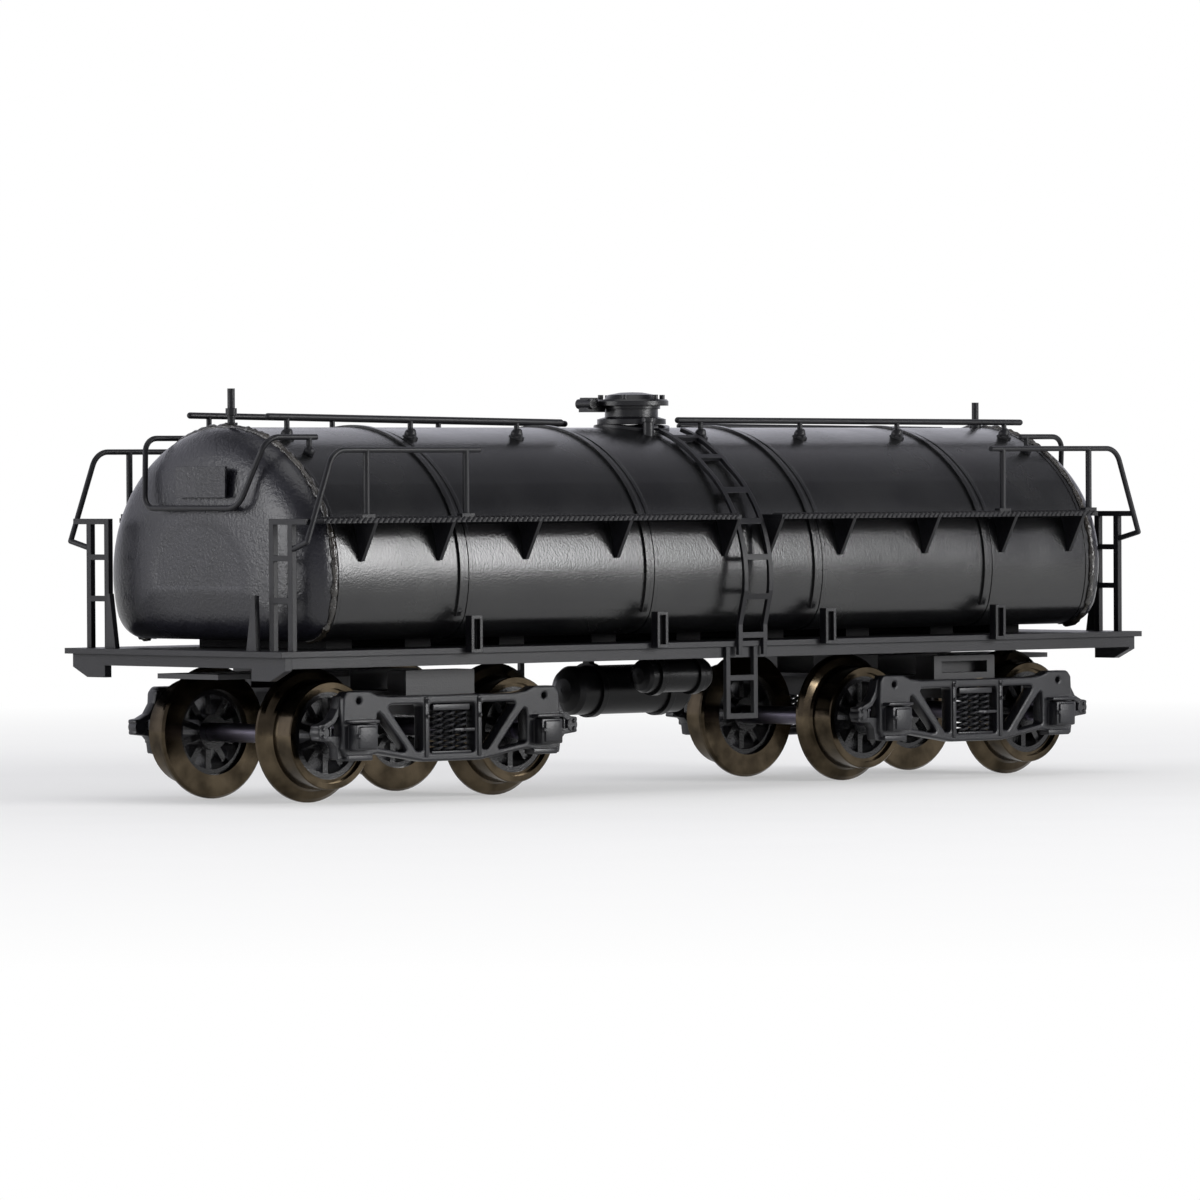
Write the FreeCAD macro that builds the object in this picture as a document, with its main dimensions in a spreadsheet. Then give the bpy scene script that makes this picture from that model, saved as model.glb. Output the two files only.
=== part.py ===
# Model tank wagon, 1:150 scale for 9 mm gauge track.
# Frame: +X along the wagon, -Y is the near side, +Z up; the origin lies under the middle of the wagon,
# level with the lowest points of the wheel flanges. Millimetres.
import FreeCAD, Part
import math
import os
import Sketcher

DOC = FreeCAD.newDocument("tank_wagon")
V = FreeCAD.Vector

# Driving dimensions: alias, value, meaning.
SIZES = [
    ("body_len", 64.2, "length over the end deck plates"),
    ("body_wid", 17.9, "width of the deck"),
    ("deck_top", 8.08, "height of the deck's upper face"),
    ("deck_thk", 0.30, "thickness of the deck plate"),
    ("sill_deep", 0.60, "depth of the side sills and headstocks"),
    ("sill_thk", 0.45, "thickness of side sills and headstocks"),
    ("sill_inset", 0.20, "deck overhang past the sills"),
    ("gusset_drop", 0.64, "how far a corner gusset hangs under its headstock"),
    ("gusset_wid", 2.70, "width of a corner gusset"),
    ("centre_wid", 3.00, "width of the centre sill"),
    ("centre_deep", 0.80, "depth of the centre sill"),
    ("centre_past", 3.00, "how far the centre sill runs past the bogie pivots"),
    ("bearer_thk", 0.50, "thickness of a cross bearer"),
    ("bearer_deep", 0.45, "depth of a cross bearer"),
    ("tank_len", 60.4, "length of the tank over its ends"),
    ("tank_bottom", 8.55, "height of the tank's flat bottom"),
    ("top_rad", 9.30, "radius of the tank's top arc"),
    ("top_mid", 10.45, "height of the top arc's centre"),
    ("side_rad", 7.00, "radius of the tank's shoulder arcs"),
    ("side_off", 1.70, "shoulder arc centre, out from the middle"),
    ("floor_rad", 2.00, "radius of the tank's bottom corners"),
    ("end_round", 1.75, "depth of the dished tank end"),
    ("end_skirt", 0.35, "length of the tank end's straight skirt"),
    ("shell_thk", 0.40, "thickness of the rolled tank barrel"),
    ("end_plug", 0.80, "length of the end's plug inside the barrel"),
    ("saddle_wid", 1.80, "width of a tank saddle along the wagon"),
    ("saddle_reach", 10.40, "length of a tank saddle across the wagon"),
    ("saddle_end", 25.00, "end saddles, out from the middle"),
    ("band_wid", 0.32, "width of a tank band"),
    ("band_thk", 0.14, "thickness of a tank band"),
    ("band_a", -19.50, "first tank band, along the wagon"),
    ("band_b", -6.15, "second tank band"),
    ("band_c", 6.45, "third tank band"),
    ("band_d", 19.70, "fourth tank band"),
    ("anchor_wid", 0.78, "width of a band anchor along the wagon"),
    ("anchor_deep", 0.50, "how far a band anchor stands out"),
    ("anchor_tall", 1.95, "height of a band anchor"),
    ("anchor_wall", 0.18, "wall thickness of a band anchor"),
    ("anchor_off", 0.45, "band anchor's middle, right of its band"),
    ("bogie_off", 19.60, "bogie pivots, out from the middle"),
    ("axle_off", 6.50, "axles, out from the bogie pivot"),
    ("tread_rad", 2.84, "wheel tread radius"),
    ("flange_rad", 3.55, "wheel flange radius"),
    ("wheel_back", 3.72, "wheel back face, out from the middle"),
    ("wheel_front", 5.84, "wheel outer face, out from the middle"),
    ("flange_thk", 0.62, "flange thickness"),
    ("tyre_in", 2.30, "inner radius of the tyre"),
    ("tyre_face", 2.50, "inner radius of the tyre's outer face"),
    ("axle_rad", 0.50, "axle radius between the wheels"),
    ("stub_rad", 0.38, "axle journal radius"),
    ("stub_end", 7.85, "axle journal end, out from the middle"),
    ("run_gap", 0.06, "radial clearance of a running fit"),
    ("frame_in", 7.10, "bogie side frame inner face, out from the middle"),
    ("frame_out", 8.10, "bogie side frame outer face, out from the middle"),
    ("box_out", 8.90, "axlebox outer face, out from the middle"),
    ("box_size", 1.50, "axlebox width and height"),
    ("bolster_half", 2.40, "half length of a bogie bolster along the wagon"),
    ("scoop_in", 2.60, "inner edge of the low part of a bolster, out from the middle"),
    ("scoop_out", 5.60, "outer edge of that low part"),
    ("scoop_deep", 1.10, "how far that part lies below the bolster's top"),
    ("bolster_top", 6.90, "height of the bolster's upper face"),
    ("bolster_web", 0.60, "thickness of the web over the pivot screw's head"),
    ("chord_top", 5.60, "height of the side frame's upper chord"),
    ("pin_rad", 1.00, "bogie pivot pin radius"),
    ("pin_head_rad", 1.55, "bogie pivot screw head radius"),
    ("tongue_wid", 5.00, "width of the coupler tongue"),
    ("tongue_end", 11.40, "coupler tongue end, out from the pivot"),
    ("tongue_thk", 0.27, "thickness of the coupler tongue"),
    ("tongue_low", 6.53, "height of the tongue's lower face"),
    ("coupler_rad", 0.70, "radius of the coupler pin hole"),
    ("coupler_off", 10.10, "coupler pin hole, out from the pivot"),
    ("walk_top", 14.95, "height of the walkway's upper face"),
    ("walk_thk", 0.25, "thickness of the walkway plate"),
    ("walk_out", 9.95, "walkway's outer edge, out from the middle"),
    ("walk_long", 30.00, "walkway's longer end, out from the middle"),
    ("walk_short", 27.50, "walkway's shorter end, out from the middle"),
    ("bracket_drop", 2.00, "depth of a walkway bracket"),
    ("bracket_thk", 0.22, "thickness of a walkway bracket"),
    ("wire_rad", 0.15, "radius of the handrail wire"),
    ("rail_out", 9.75, "handrails, out from the middle"),
    ("rail_top", 18.50, "height of the handrail"),
    ("rail_inner", 19.10, "inner end of a handrail, out from the middle"),
    ("rail_bend", 29.20, "handrail's upper bend, out from the middle"),
    ("rail_foot", 31.10, "handrail's lower bend, out from the middle"),
    ("rail_low", 13.75, "height of the handrail's lower bend"),
    ("post_outer", 26.95, "outer handrail post, out from the middle"),
    ("post_inner", 20.05, "inner handrail post, out from the middle"),
    ("ladder_off", 30.80, "corner ladders, out from the middle"),
    ("ladder_out", 8.30, "ladder's outer stile, out from the middle"),
    ("ladder_in", 6.80, "ladder's inner stile, out from the middle"),
    ("stile_wid", 0.36, "width of a ladder stile"),
    ("ladder_thk", 0.30, "thickness of an end ladder"),
    ("ladder_top", 14.95, "height of the ladder's top bar"),
    ("rung_pitch", 2.20, "distance between rungs"),
    ("climb_left", 0.3, "centre ladder's left stile"),
    ("climb_wid", 1.85, "centre ladder's width between stile middles"),
    ("climb_gap", 0.12, "gap from the tank's crown to the centre ladder"),
    ("climb_off", 0.85, "gap from the tank's side to the centre ladder"),
    ("walk_gap_left", -0.3, "left edge of the walkway's gap for the centre ladder"),
    ("walk_gap_right", 2.75, "right edge of the walkway's gap for the centre ladder"),
    ("step_low", 4.00, "height of the side step's lowest rung"),
    ("step_left", -0.45, "side step's left stile"),
    ("step_wid", 2.05, "side step's width between stile middles"),
    ("roof_rail_out", 3.20, "roof rails, out from the middle"),
    ("near_left_out", 20.30, "height of the near left roof rail's outer end"),
    ("near_left_in", 20.00, "height of its inner end"),
    ("near_right_in", 20.13, "height of the near right roof rail's inner end"),
    ("near_right_out", 20.03, "height of its outer end"),
    ("far_left_out", 20.40, "height of the far left roof rail's outer end"),
    ("far_left_in", 19.98, "height of its inner end"),
    ("far_right_in", 19.86, "height of the far right roof rail's inner end"),
    ("far_right_out", 19.66, "height of its outer end"),
    ("roof_rail_long", 1.30, "inner end of a long roof rail, out from the middle"),
    ("roof_rail_short", 7.40, "inner end of a short roof rail, out from the middle"),
    ("roof_rail_end", 28.10, "outer ends of the roof rails"),
    ("dome_rad", 1.47, "manhole neck radius"),
    ("dome_x", 0.60, "manhole's middle along the wagon"),
    ("dome_y", -0.20, "manhole's middle across the wagon"),
    ("dome_base_rad", 1.9, "manhole base ring radius"),
    ("dome_top", 20.95, "height of the manhole neck's rim"),
    ("lid_rad", 2.05, "manhole lid radius"),
    ("lid_thk", 0.35, "manhole lid edge thickness"),
    ("tank1_rad", 1.35, "radius of the long air reservoir"),
    ("tank1_len", 9.00, "length of the long air reservoir"),
    ("tank2_rad", 0.92, "radius of the short air reservoir"),
    ("tank2_len", 5.10, "length of the short air reservoir"),
]

sheet = DOC.addObject("Spreadsheet::Sheet", "sizes")
for row, (alias, value, meaning) in enumerate(SIZES, start=1):
    sheet.set("A%d" % row, meaning)
    sheet.set("B%d" % row, str(value))
    sheet.setAlias("B%d" % row, alias)
DOC.recompute()
NODES = []


def size(alias):
    """Read a driving dimension."""
    return float(getattr(sheet, alias))


def expr(text):
    """Turn a formula in the sheet's aliases into an expression that a property accepts."""
    if not isinstance(text, str):
        return repr(float(text))
    for alias, _, _ in SIZES:
        text = replace_word(text, alias, "sizes." + alias)
    return text


def replace_word(text, word, new):
    out, start = "", 0
    while True:
        found = text.find(word, start)
        if found < 0:
            return out + text[start:]
        before = text[found - 1] if found else " "
        after = text[found + len(word)] if found + len(word) < len(text) else " "
        whole = not (before.isalnum() or before in "_.") and not (after.isalnum() or after == "_")
        out += text[start:found] + (new if whole else word)
        start = found + len(word)


def value(text):
    """The number that a formula in the aliases stands for."""
    if not isinstance(text, str):
        return float(text)
    probe = DOC.addObject("App::FeaturePython", "probe")
    probe.addProperty("App::PropertyFloat", "number")
    probe.setExpression("number", expr(text))
    DOC.recompute([probe])
    number = probe.number
    DOC.removeObject(probe.Name)
    return number


def bind(obj, prop, text):
    obj.setExpression(prop, expr(text))


def place(obj, x=0, y=0, z=0):
    for axis, text in zip("xyz", (x, y, z)):
        bind(obj, "Placement.Base." + axis, text)


def box(name, lx, ly, lz, x, y, z):
    """A block centred on x and y, standing on z."""
    obj = DOC.addObject("Part::Box", name)
    for prop, text in (("Length", lx), ("Width", ly), ("Height", lz)):
        bind(obj, prop, text)
    place(obj, "(%s)-(%s)/2" % (x, lx), "(%s)-(%s)/2" % (y, ly), z)
    return obj


TURNS = {"x": (V(0, 1, 0), 90), "y": (V(1, 0, 0), -90), "z": (V(0, 0, 1), 0)}


def rod(name, radius, length, x, y, z, along="z"):
    """A round bar that starts at (x, y, z) and runs in the + direction of its axis."""
    obj = DOC.addObject("Part::Cylinder", name)
    bind(obj, "Radius", radius)
    bind(obj, "Height", length)
    obj.Placement = FreeCAD.Placement(V(0, 0, 0), FreeCAD.Rotation(*TURNS[along]))
    place(obj, x, y, z)
    return obj


def fuse(name, pieces):
    obj = DOC.addObject("Part::MultiFuse", name)
    obj.Shapes = pieces
    return obj


def cut(name, base, tool):
    obj = DOC.addObject("Part::Cut", name)
    obj.Base, obj.Tool = base, tool
    return obj


def group(name, pieces):
    """Separate solids that share one node."""
    obj = DOC.addObject("Part::Compound", name)
    obj.Links = pieces
    return obj


def node(obj, label):
    obj.Label = label
    NODES.append(obj)
    return obj


def plane(body, role):
    return next(o for o in body.Origin.OriginFeatures if o.Role == role)


def outline(body, name, role, points, holes=(), offset=0):
    """A closed sketch of straight lines: each corner's two coordinates are bound to formulas."""
    sketch = body.newObject("Sketcher::SketchObject", name)
    sketch.AttachmentSupport = (plane(body, role), [""])
    sketch.MapMode = "FlatFace"
    bind(sketch, "AttachmentOffset.Base.z", offset)
    for loop in [points] + list(holes):
        spots = [V(value(a), value(b), 0) for a, b in loop]
        first = sketch.GeometryCount
        count = len(spots)
        for i in range(count):
            sketch.addGeometry(Part.LineSegment(spots[i], spots[(i + 1) % count]), False)
        for i in range(count):
            after = first + (i + 1) % count
            sketch.addConstraint(Sketcher.Constraint("Coincident", first + i, 2, after, 1))
        for i, (a, b) in enumerate(loop):
            for kind, text, number in (("DistanceX", a, spots[i].x), ("DistanceY", b, spots[i].y)):
                at = sketch.addConstraint(Sketcher.Constraint(kind, -1, 1, first + i, 1, number))
                bind(sketch, "Constraints[%d]" % at, text)
    return sketch


def pad(body, sketch, length, centred=False):
    feature = body.newObject("PartDesign::Pad", sketch.Name + "_pad")
    feature.Profile = sketch
    bind(feature, "Length", length)
    feature.Midplane = centred
    sketch.Visibility = False
    return feature


def plate(name, role, points, length, offset=0, holes=(), centred=False):
    """A flat piece cut to an outline, as a PartDesign body."""
    body = DOC.addObject("PartDesign::Body", name)
    pad(body, outline(body, name + "_outline", role, points, holes, offset), length, centred)
    return body


def turned(name, points, x=0, y=0, z=0, along="z"):
    """A piece turned about an axis: points are (radius, height along the axis)."""
    body = DOC.addObject("PartDesign::Body", name)
    sketch = outline(body, name + "_section", "XZ_Plane", points)
    spin = body.newObject("PartDesign::Revolution", name + "_spin")
    spin.Profile = sketch
    spin.ReferenceAxis = (sketch, ["V_Axis"])
    spin.Angle = 360
    sketch.Visibility = False
    body.Placement = FreeCAD.Placement(V(0, 0, 0), FreeCAD.Rotation(*TURNS[along]))
    place(body, x, y, z)
    return body


def feature(name, shape):
    obj = DOC.addObject("Part::Feature", name)
    obj.Shape = shape
    return obj


def wire_path(spots, bend):
    """A path of straight runs whose corners are rounded by arcs of the bend radius."""
    edges, last = [], spots[0]
    for i in range(1, len(spots) - 1):
        here = spots[i]
        back = (spots[i - 1] - here).normalize()
        ahead = (spots[i + 1] - here).normalize()
        half = back.getAngle(ahead) / 2
        reach = bend / math.tan(half)
        enter, leave = here + back * reach, here + ahead * reach
        middle = (back + ahead).normalize()
        crown = here + middle * (bend / math.sin(half) - bend)
        edges.append(Part.LineSegment(last, enter).toShape())
        edges.append(Part.Arc(enter, crown, leave).toShape())
        last = leave
    edges.append(Part.LineSegment(last, spots[-1]).toShape())
    return Part.Wire(edges)


def bent_wire(spots, radius, bend):
    """Round wire swept along a bent path."""
    path = wire_path(spots, bend)
    start = spots[0]
    ring = Part.Wire(Part.makeCircle(radius, start, spots[1] - start))
    return path.makePipeShell([ring], True, True)


# ---- underframe ----

def deck():
    return node(box("deck", "body_len", "body_wid", "deck_thk", 0, 0, "deck_top-deck_thk"), "deck_plate")


BAND_SPOTS = ("band_a", "band_b", "band_c", "band_d")
DECK_LOW = "deck_top-deck_thk"
SILL_LOW = "deck_top-deck_thk-sill_deep"
SILL_FACE = "body_wid/2-sill_inset"
HEAD_FACE = "body_len/2-2*sill_inset"


def side_sills():
    for label, sign in (("near", "-"), ("far", "")):
        sill = box("side_sill_" + label, "2*(%s-sill_thk)" % HEAD_FACE, "sill_thk", "sill_deep",
                   0, "%s(%s-sill_thk/2)" % (sign, SILL_FACE), SILL_LOW)
        node(sill, "side_sill_" + label)


def headstocks():
    """End beams, each with a sloped gusset hanging at both corners."""
    low = "(%s)-gusset_drop" % SILL_LOW
    slope = "gusset_wid*0.45"
    edge, root = SILL_FACE, SILL_FACE + "-gusset_wid"
    right = [(root, SILL_LOW), (root, low), ("(%s)-%s" % (edge, slope), low),
             (edge, "(%s)-gusset_drop*0.15" % SILL_LOW), (edge, DECK_LOW)]
    points = right + [("-(%s)" % a, b) for a, b in reversed(right)]
    for label, start in (("left", "-(%s)" % HEAD_FACE), ("right", "(%s)-sill_thk" % HEAD_FACE)):
        node(plate("headstock_" + label, "YZ_Plane", points, "sill_thk", start), "headstock_" + label)


def centre_sill():
    low = "deck_top-deck_thk-centre_deep"
    sill = box("centre_sill_bar", "2*(bogie_off+centre_past)", "centre_wid", "centre_deep", 0, 0, low)
    holes = []
    for i, sign in enumerate("-+"):
        holes.append(rod("pivot_hole_%d" % i, "pin_rad*0.6", "centre_deep+1", "%sbogie_off" % sign, 0, low))
    node(cut("centre_sill_cut", sill, fuse("pivot_holes", holes)), "centre_sill")


def cross_bearers():
    """Short beams on both sides of the centre sill, kept above the wheel flanges."""
    bars = []
    reach = "(%s-sill_thk)-centre_wid/2" % SILL_FACE
    for i, x in enumerate(("-bogie_off-7.6", "-bogie_off", "-bogie_off+9.2", "-4.6", "4.6",
                           "bogie_off-9.2", "bogie_off", "bogie_off+7.6")):
        for side, sign in (("near", "-"), ("far", "")):
            y = "%s(centre_wid/2+(%s)/2)" % (sign, reach)
            bars.append(box("bearer_%s_%d" % (side, i), "bearer_thk", reach, "bearer_deep",
                            x, y, "%s-bearer_deep" % DECK_LOW))
    node(group("cross_bearer_set", bars), "cross_bearers")


def pivot_screws():
    """Shouldered screws: the shank passes the bolster, the head holds it up."""
    head_thk, slack = 0.55, 0.25
    under = "bolster_top-bolster_web"
    screws = []
    for label, sign in (("left", "-"), ("right", "")):
        shank = rod("screw_shank_" + label, "pin_rad", "%s-centre_deep-(%s)+%g" % (DECK_LOW, under, slack),
                    sign + "bogie_off", 0, "%s-%g" % (under, slack))
        head = rod("screw_head_" + label, "pin_head_rad", head_thk,
                   sign + "bogie_off", 0, "%s-%g" % (under, slack + head_thk))
        screws.append(fuse("screw_" + label, [shank, head]))
    node(group("pivot_screw_set", screws), "pivot_screws")


def saddles():
    """Pads between the deck and the tank's flat bottom."""
    pads = []
    between = ("-saddle_end", "(band_a+band_b)/2", "(band_b+band_c)/2", "(band_c+band_d)/2", "saddle_end")
    for i, x in enumerate(BAND_SPOTS + between):
        pads.append(box("saddle_%d" % i, "saddle_wid", "saddle_reach", "tank_bottom-deck_top",
                        x, 0, "deck_top"))
    node(group("saddle_set", pads), "tank_saddles")


# ---- tank ----

def section_wire(x, inset=0.0, floor_inset=None):
    """The loaf-shaped tank section at x, drawn in by the inset."""
    lift = inset if floor_inset is None else floor_inset
    crown, crown_mid = size("top_rad") - inset, size("top_mid")
    side, off = size("side_rad") - inset, size("side_off")
    side_mid = crown_mid + math.sqrt((size("top_rad") - size("side_rad")) ** 2 - off ** 2)
    corner = max(size("floor_rad") - lift, 0.2)
    low = size("tank_bottom") + lift
    join = math.atan2(side_mid - crown_mid, off)
    drop = math.asin((side_mid - corner - low) / (side - corner))

    def on_side(angle):
        return off + side * math.cos(angle), side_mid + side * math.sin(angle)

    wall = on_side(-drop)
    corner_mid = wall[0] - corner * math.cos(drop), wall[1] + corner * math.sin(drop)
    half_way = -(drop + math.pi / 2) / 2
    up = (join + math.pi / 2) / 2
    on_crown = crown * math.cos(up), crown_mid + crown * math.sin(up)
    marks = [((0, crown_mid + crown), on_crown, on_side(join)),
             (on_side(join), on_side((join - drop) / 2), wall)]
    right = [Part.Arc(*[V(x, a, b) for a, b in mark]).toShape() for mark in marks]
    turn = (corner_mid[0] + corner * math.cos(half_way), corner_mid[1] + corner * math.sin(half_way))
    right.append(Part.Arc(V(x, *wall), V(x, *turn), V(x, corner_mid[0], low)).toShape())
    right.append(Part.LineSegment(V(x, corner_mid[0], low), V(x, 0, low)).toShape())
    left = [e.mirror(V(0, 0, 0), V(0, 1, 0)) for e in reversed(right)]
    return Part.Wire(Part.__sortEdges__(right + left))


def section_prism(x0, x1, inset=0.0):
    return Part.Face(section_wire(x0, inset)).extrude(V(x1 - x0, 0, 0))


# A tank end's profile from its flat middle to its rim: millimetres drawn in, and share of the end's depth.
# The tank's flat bottom is drawn in by less than the sides and crown: FLOOR_SHARE of their inset.
END_DISH = [(5.2, 1.0), (3.6, 0.965), (2.4, 0.9), (1.6, 0.82), (1.0, 0.7), (0.55, 0.54), (0.22, 0.34),
            (0.04, 0.13), (0.0, 0.0)]
FLOOR_SHARE = 0.55


def tank_shell():
    half = size("tank_len") / 2 - size("end_round") - size("end_skirt")
    shell = section_prism(-half, half).cut(section_prism(-half, half, size("shell_thk")))
    mouth = V(size("dome_x"), size("dome_y"), size("top_mid"))
    manhole_bore = Part.makeCylinder(size("dome_rad") * 0.75, 2 * size("top_rad"), mouth)
    node(feature("barrel", shell.cut(manhole_bore)), "tank_barrel")
    wires = []
    for inset, share in END_DISH:
        station = half + size("end_skirt") + size("end_round") * share
        wires.append(section_wire(-station, inset, inset * FLOOR_SHARE))
    rolled = Part.makeLoft(wires, True, False)
    skirt = section_prism(-half - size("end_skirt"), -half)
    plug = section_prism(-half, size("end_plug") - half, size("shell_thk"))
    left = rolled.fuse([skirt, plug]).removeSplitter()
    node(feature("end_left", left), "tank_end_left")
    node(feature("end_right", left.mirror(V(0, 0, 0), V(1, 0, 0))), "tank_end_right")


def tank_volume():
    """The tank's outer form, for trimming what stands on it."""
    reach = size("tank_len") / 2 - size("end_round")
    return section_prism(-reach, reach)


def trimmed(name, obj):
    """An object with its foot cut to the tank's surface."""
    if not DOC.getObject("tank_form"):
        feature("tank_form", tank_volume())
    return cut(name, obj, DOC.getObject("tank_form"))


def tank_bands():
    """Thin straps round the barrel, open at the flat bottom."""
    thk, wid, reach = size("band_thk"), size("band_wid"), size("top_rad")
    strap_foot = size("tank_bottom") + size("floor_rad") * 0.6
    straps = []
    for x in (size(spot) for spot in BAND_SPOTS):
        strap = section_prism(x - wid / 2, x + wid / 2, -thk).cut(section_prism(x - wid, x + wid))
        keep = Part.makeBox(4 * wid, 4 * reach, 4 * reach, V(x - 2 * wid, -2 * reach, strap_foot))
        straps.append(strap.common(keep))
    node(feature("bands", Part.makeCompound(straps)), "tank_bands")


def band_anchors():
    """Folded channels on the deck edge that the bands pull down to."""
    low = "deck_top-0.25"
    solids = []
    for side, sign in (("near", "-"), ("far", "")):
        for i, spot in enumerate(BAND_SPOTS):
            tag = "%s_%d" % (side, i)
            x, y = spot + "+anchor_off", "%s(body_wid/2+anchor_deep/2)" % sign
            block = box("anchor_block_" + tag, "anchor_wid", "anchor_deep", "anchor_tall", x, y, low)
            slot = box("anchor_slot_" + tag, "anchor_wid-2*anchor_wall", "anchor_deep",
                       "anchor_tall-2*anchor_wall", x, "%s(body_wid/2+anchor_deep/2+anchor_wall)" % sign,
                       low + "+anchor_wall")
            solids.append(cut("anchor_" + tag, block, slot))
    node(group("anchor_set", solids), "band_anchors")


def end_plates():
    """Blank number plates, each on two short studs let into the tank end."""
    card_thk, stand, off, deep = 0.15, 0.12, -0.45, 0.5
    card_wid, card_tall, card_low = 4.1, 1.65, 16.05
    plates = []
    ends = (("left", "-", "-tank_len/2-%g" % stand), ("right", "", "tank_len/2-%g" % deep))
    for label, sign, start in ends:
        card = box("plate_card_" + label, card_thk, card_wid, card_tall,
                   "%s(tank_len/2+%g)" % (sign, stand + card_thk / 2), off, card_low)
        studs = [rod("plate_stud_%s_%d" % (label, i), 0.22, stand + deep, start, off + y, 16.9, "x")
                 for i, y in enumerate((-1.3, 1.3))]
        plates.append(cut("plate_" + label, fuse("plate_whole_" + label, [card] + studs),
                          DOC.getObject("end_" + label)))
    node(group("plate_set", plates), "number_plates")


# ---- walkways, ladders and rails ----

def side_at(height, gap=0.0):
    """Distance of the tank's outer surface from the middle at a height."""
    crown_mid, top, side = size("top_mid"), size("top_rad") + gap, size("side_rad") + gap
    side_mid = crown_mid + math.sqrt((size("top_rad") - size("side_rad")) ** 2 - size("side_off") ** 2)
    out = size("side_off") + math.sqrt(max(side ** 2 - (height - side_mid) ** 2, 0))
    crown = math.sqrt(max(top ** 2 - (height - crown_mid) ** 2, 0))
    return min(out, crown) if height > side_mid else out


def walkways():
    """Flat footboards at mid height, each with a gap for the centre ladder.

    The far side is the near side turned half round, so each board reaches towards its own end ladder.
    """
    inner = side_at(size("walk_top") - size("walk_thk")) + size("band_thk") + 0.01
    wide = "(walk_out-%g)" % inner
    for label, turn in (("near", ""), ("far", "-")):
        boards = []
        for part, start, length in (("long", "-walk_long", "walk_long+walk_gap_left"),
                                    ("short", "walk_gap_right", "walk_short-walk_gap_right")):
            x = "%s((%s)+(%s)/2)" % (turn, start, length)
            y = ("" if turn else "-") + "(walk_out-%s/2)" % wide
            boards.append(box("board_%s_%s" % (label, part), length, wide, "walk_thk",
                              x, y, "walk_top-walk_thk"))
        node(group("board_set_" + label, boards), "walkway_" + label)


def walkway_brackets():
    """Triangular plates that carry the walkways from the tank side."""
    top = size("walk_top") - size("walk_thk")
    foot = top - size("bracket_drop")
    thk = size("bracket_thk")
    spots = [V(0, -side_at(top) + 0.3, top), V(0, -side_at(foot) + 0.3, foot),
             V(0, -side_at(foot) - 0.14, foot),
             V(0, -size("walk_out") + 0.05, top)]
    plate_face = Part.Face(Part.makePolygon(spots + spots[:1]))
    body = tank_volume()
    solids = []
    places = [sx * x for x in (8.35, 14.9, 21.0, 26.4) for sx in (-1, 1)]
    for x in places + [size("walk_gap_left") - thk / 2, size("walk_gap_right") + thk / 2]:
        near = plate_face.extrude(V(thk, 0, 0)).translated(V(x - thk / 2, 0, 0)).cut(body)
        solids += [near, near.rotated(V(0, 0, 0), V(0, 0, 1), 180)]
    node(feature("brackets", Part.makeCompound(solids)), "walkway_brackets")


def corner_ladders():
    """Etched ladders on the end decks, with a top bar out to the handrail."""
    wide = "stile_wid"
    thk = "ladder_thk"
    for end, sx in (("left", "-"), ("right", "")):
        ladders = []
        for side, sy in (("near", "-"), ("far", "")):
            tag = "%s_%s" % (end, side)
            x = sx + "ladder_off"
            tall = "ladder_top-deck_top"
            pieces = [box("stile_a_" + tag, thk, wide, tall, x, sy + "ladder_out", "deck_top"),
                      box("stile_b_" + tag, thk, wide, tall, x, sy + "ladder_in", "deck_top")]
            middle = "%s(ladder_out+ladder_in)/2" % sy
            for i in (1, 2):
                pieces.append(box("rung_%d_%s" % (i, tag), thk, "ladder_out-ladder_in", 0.3,
                                  x, middle, "ladder_top-%d*rung_pitch" % i))
            pieces.append(box("bar_" + tag, thk, "rail_out-wire_rad-ladder_in+stile_wid/2", 0.3, x,
                              "%s(rail_out-wire_rad+ladder_in-stile_wid/2)/2" % sy, "ladder_top-0.3"))
            ladders.append(fuse("ladder_" + tag, pieces))
        node(group("ladder_set_" + end, ladders), "corner_ladders_" + end)


def ladder_form(sx, sy):
    """The space of an end ladder's outer stile, where a handrail lands."""
    wide, thk = size("stile_wid"), size("ladder_thk")
    corner = V(sx * size("ladder_off") - thk / 2, sy * size("ladder_out") - wide / 2, size("deck_top"))
    return Part.makeBox(thk, wide, size("ladder_top") - size("deck_top"), corner)


def handrails():
    """Wire rails beside the walkway ends: along, down past the ladder and in to its outer stile."""
    radius = size("wire_rad")
    top, low, out = size("rail_top"), size("rail_low"), size("rail_out")
    stile = size("ladder_out") + size("stile_wid") / 2
    foot = size("walk_top")
    for end, sx in (("left", -1), ("right", 1)):
        rails = []
        for sy in (-1, 1):
            spots = [V(sx * size("rail_inner"), sy * out, top),
                     V(sx * size("rail_bend"), sy * out, top),
                     V(sx * (size("rail_foot") - 0.1), sy * out, low),
                     V(sx * size("ladder_off"), sy * stile, low - 0.35)]
            rail = bent_wire(spots[:3], radius, 1.1)
            tail = spots[3] - spots[2]
            turn = Part.makeCylinder(radius, tail.Length, spots[2], tail)
            pieces = [rail, turn, Part.makeSphere(radius, spots[2])]
            for x in (size("post_inner"), size("post_outer")):
                post = Part.makeCylinder(radius * 1.15, top - foot, V(sx * x, sy * out, foot))
                base = Part.makeBox(0.9, 0.4, 0.22, V(sx * x - 0.45, sy * out - 0.2, foot))
                pieces += [post, base]
            whole = pieces[0].fuse(pieces[1:]).removeSplitter()
            rails.append(whole.cut(ladder_form(sx, sy)))
        node(feature("rails_" + end, Part.makeCompound(rails)), "handrails_" + end)


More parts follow.
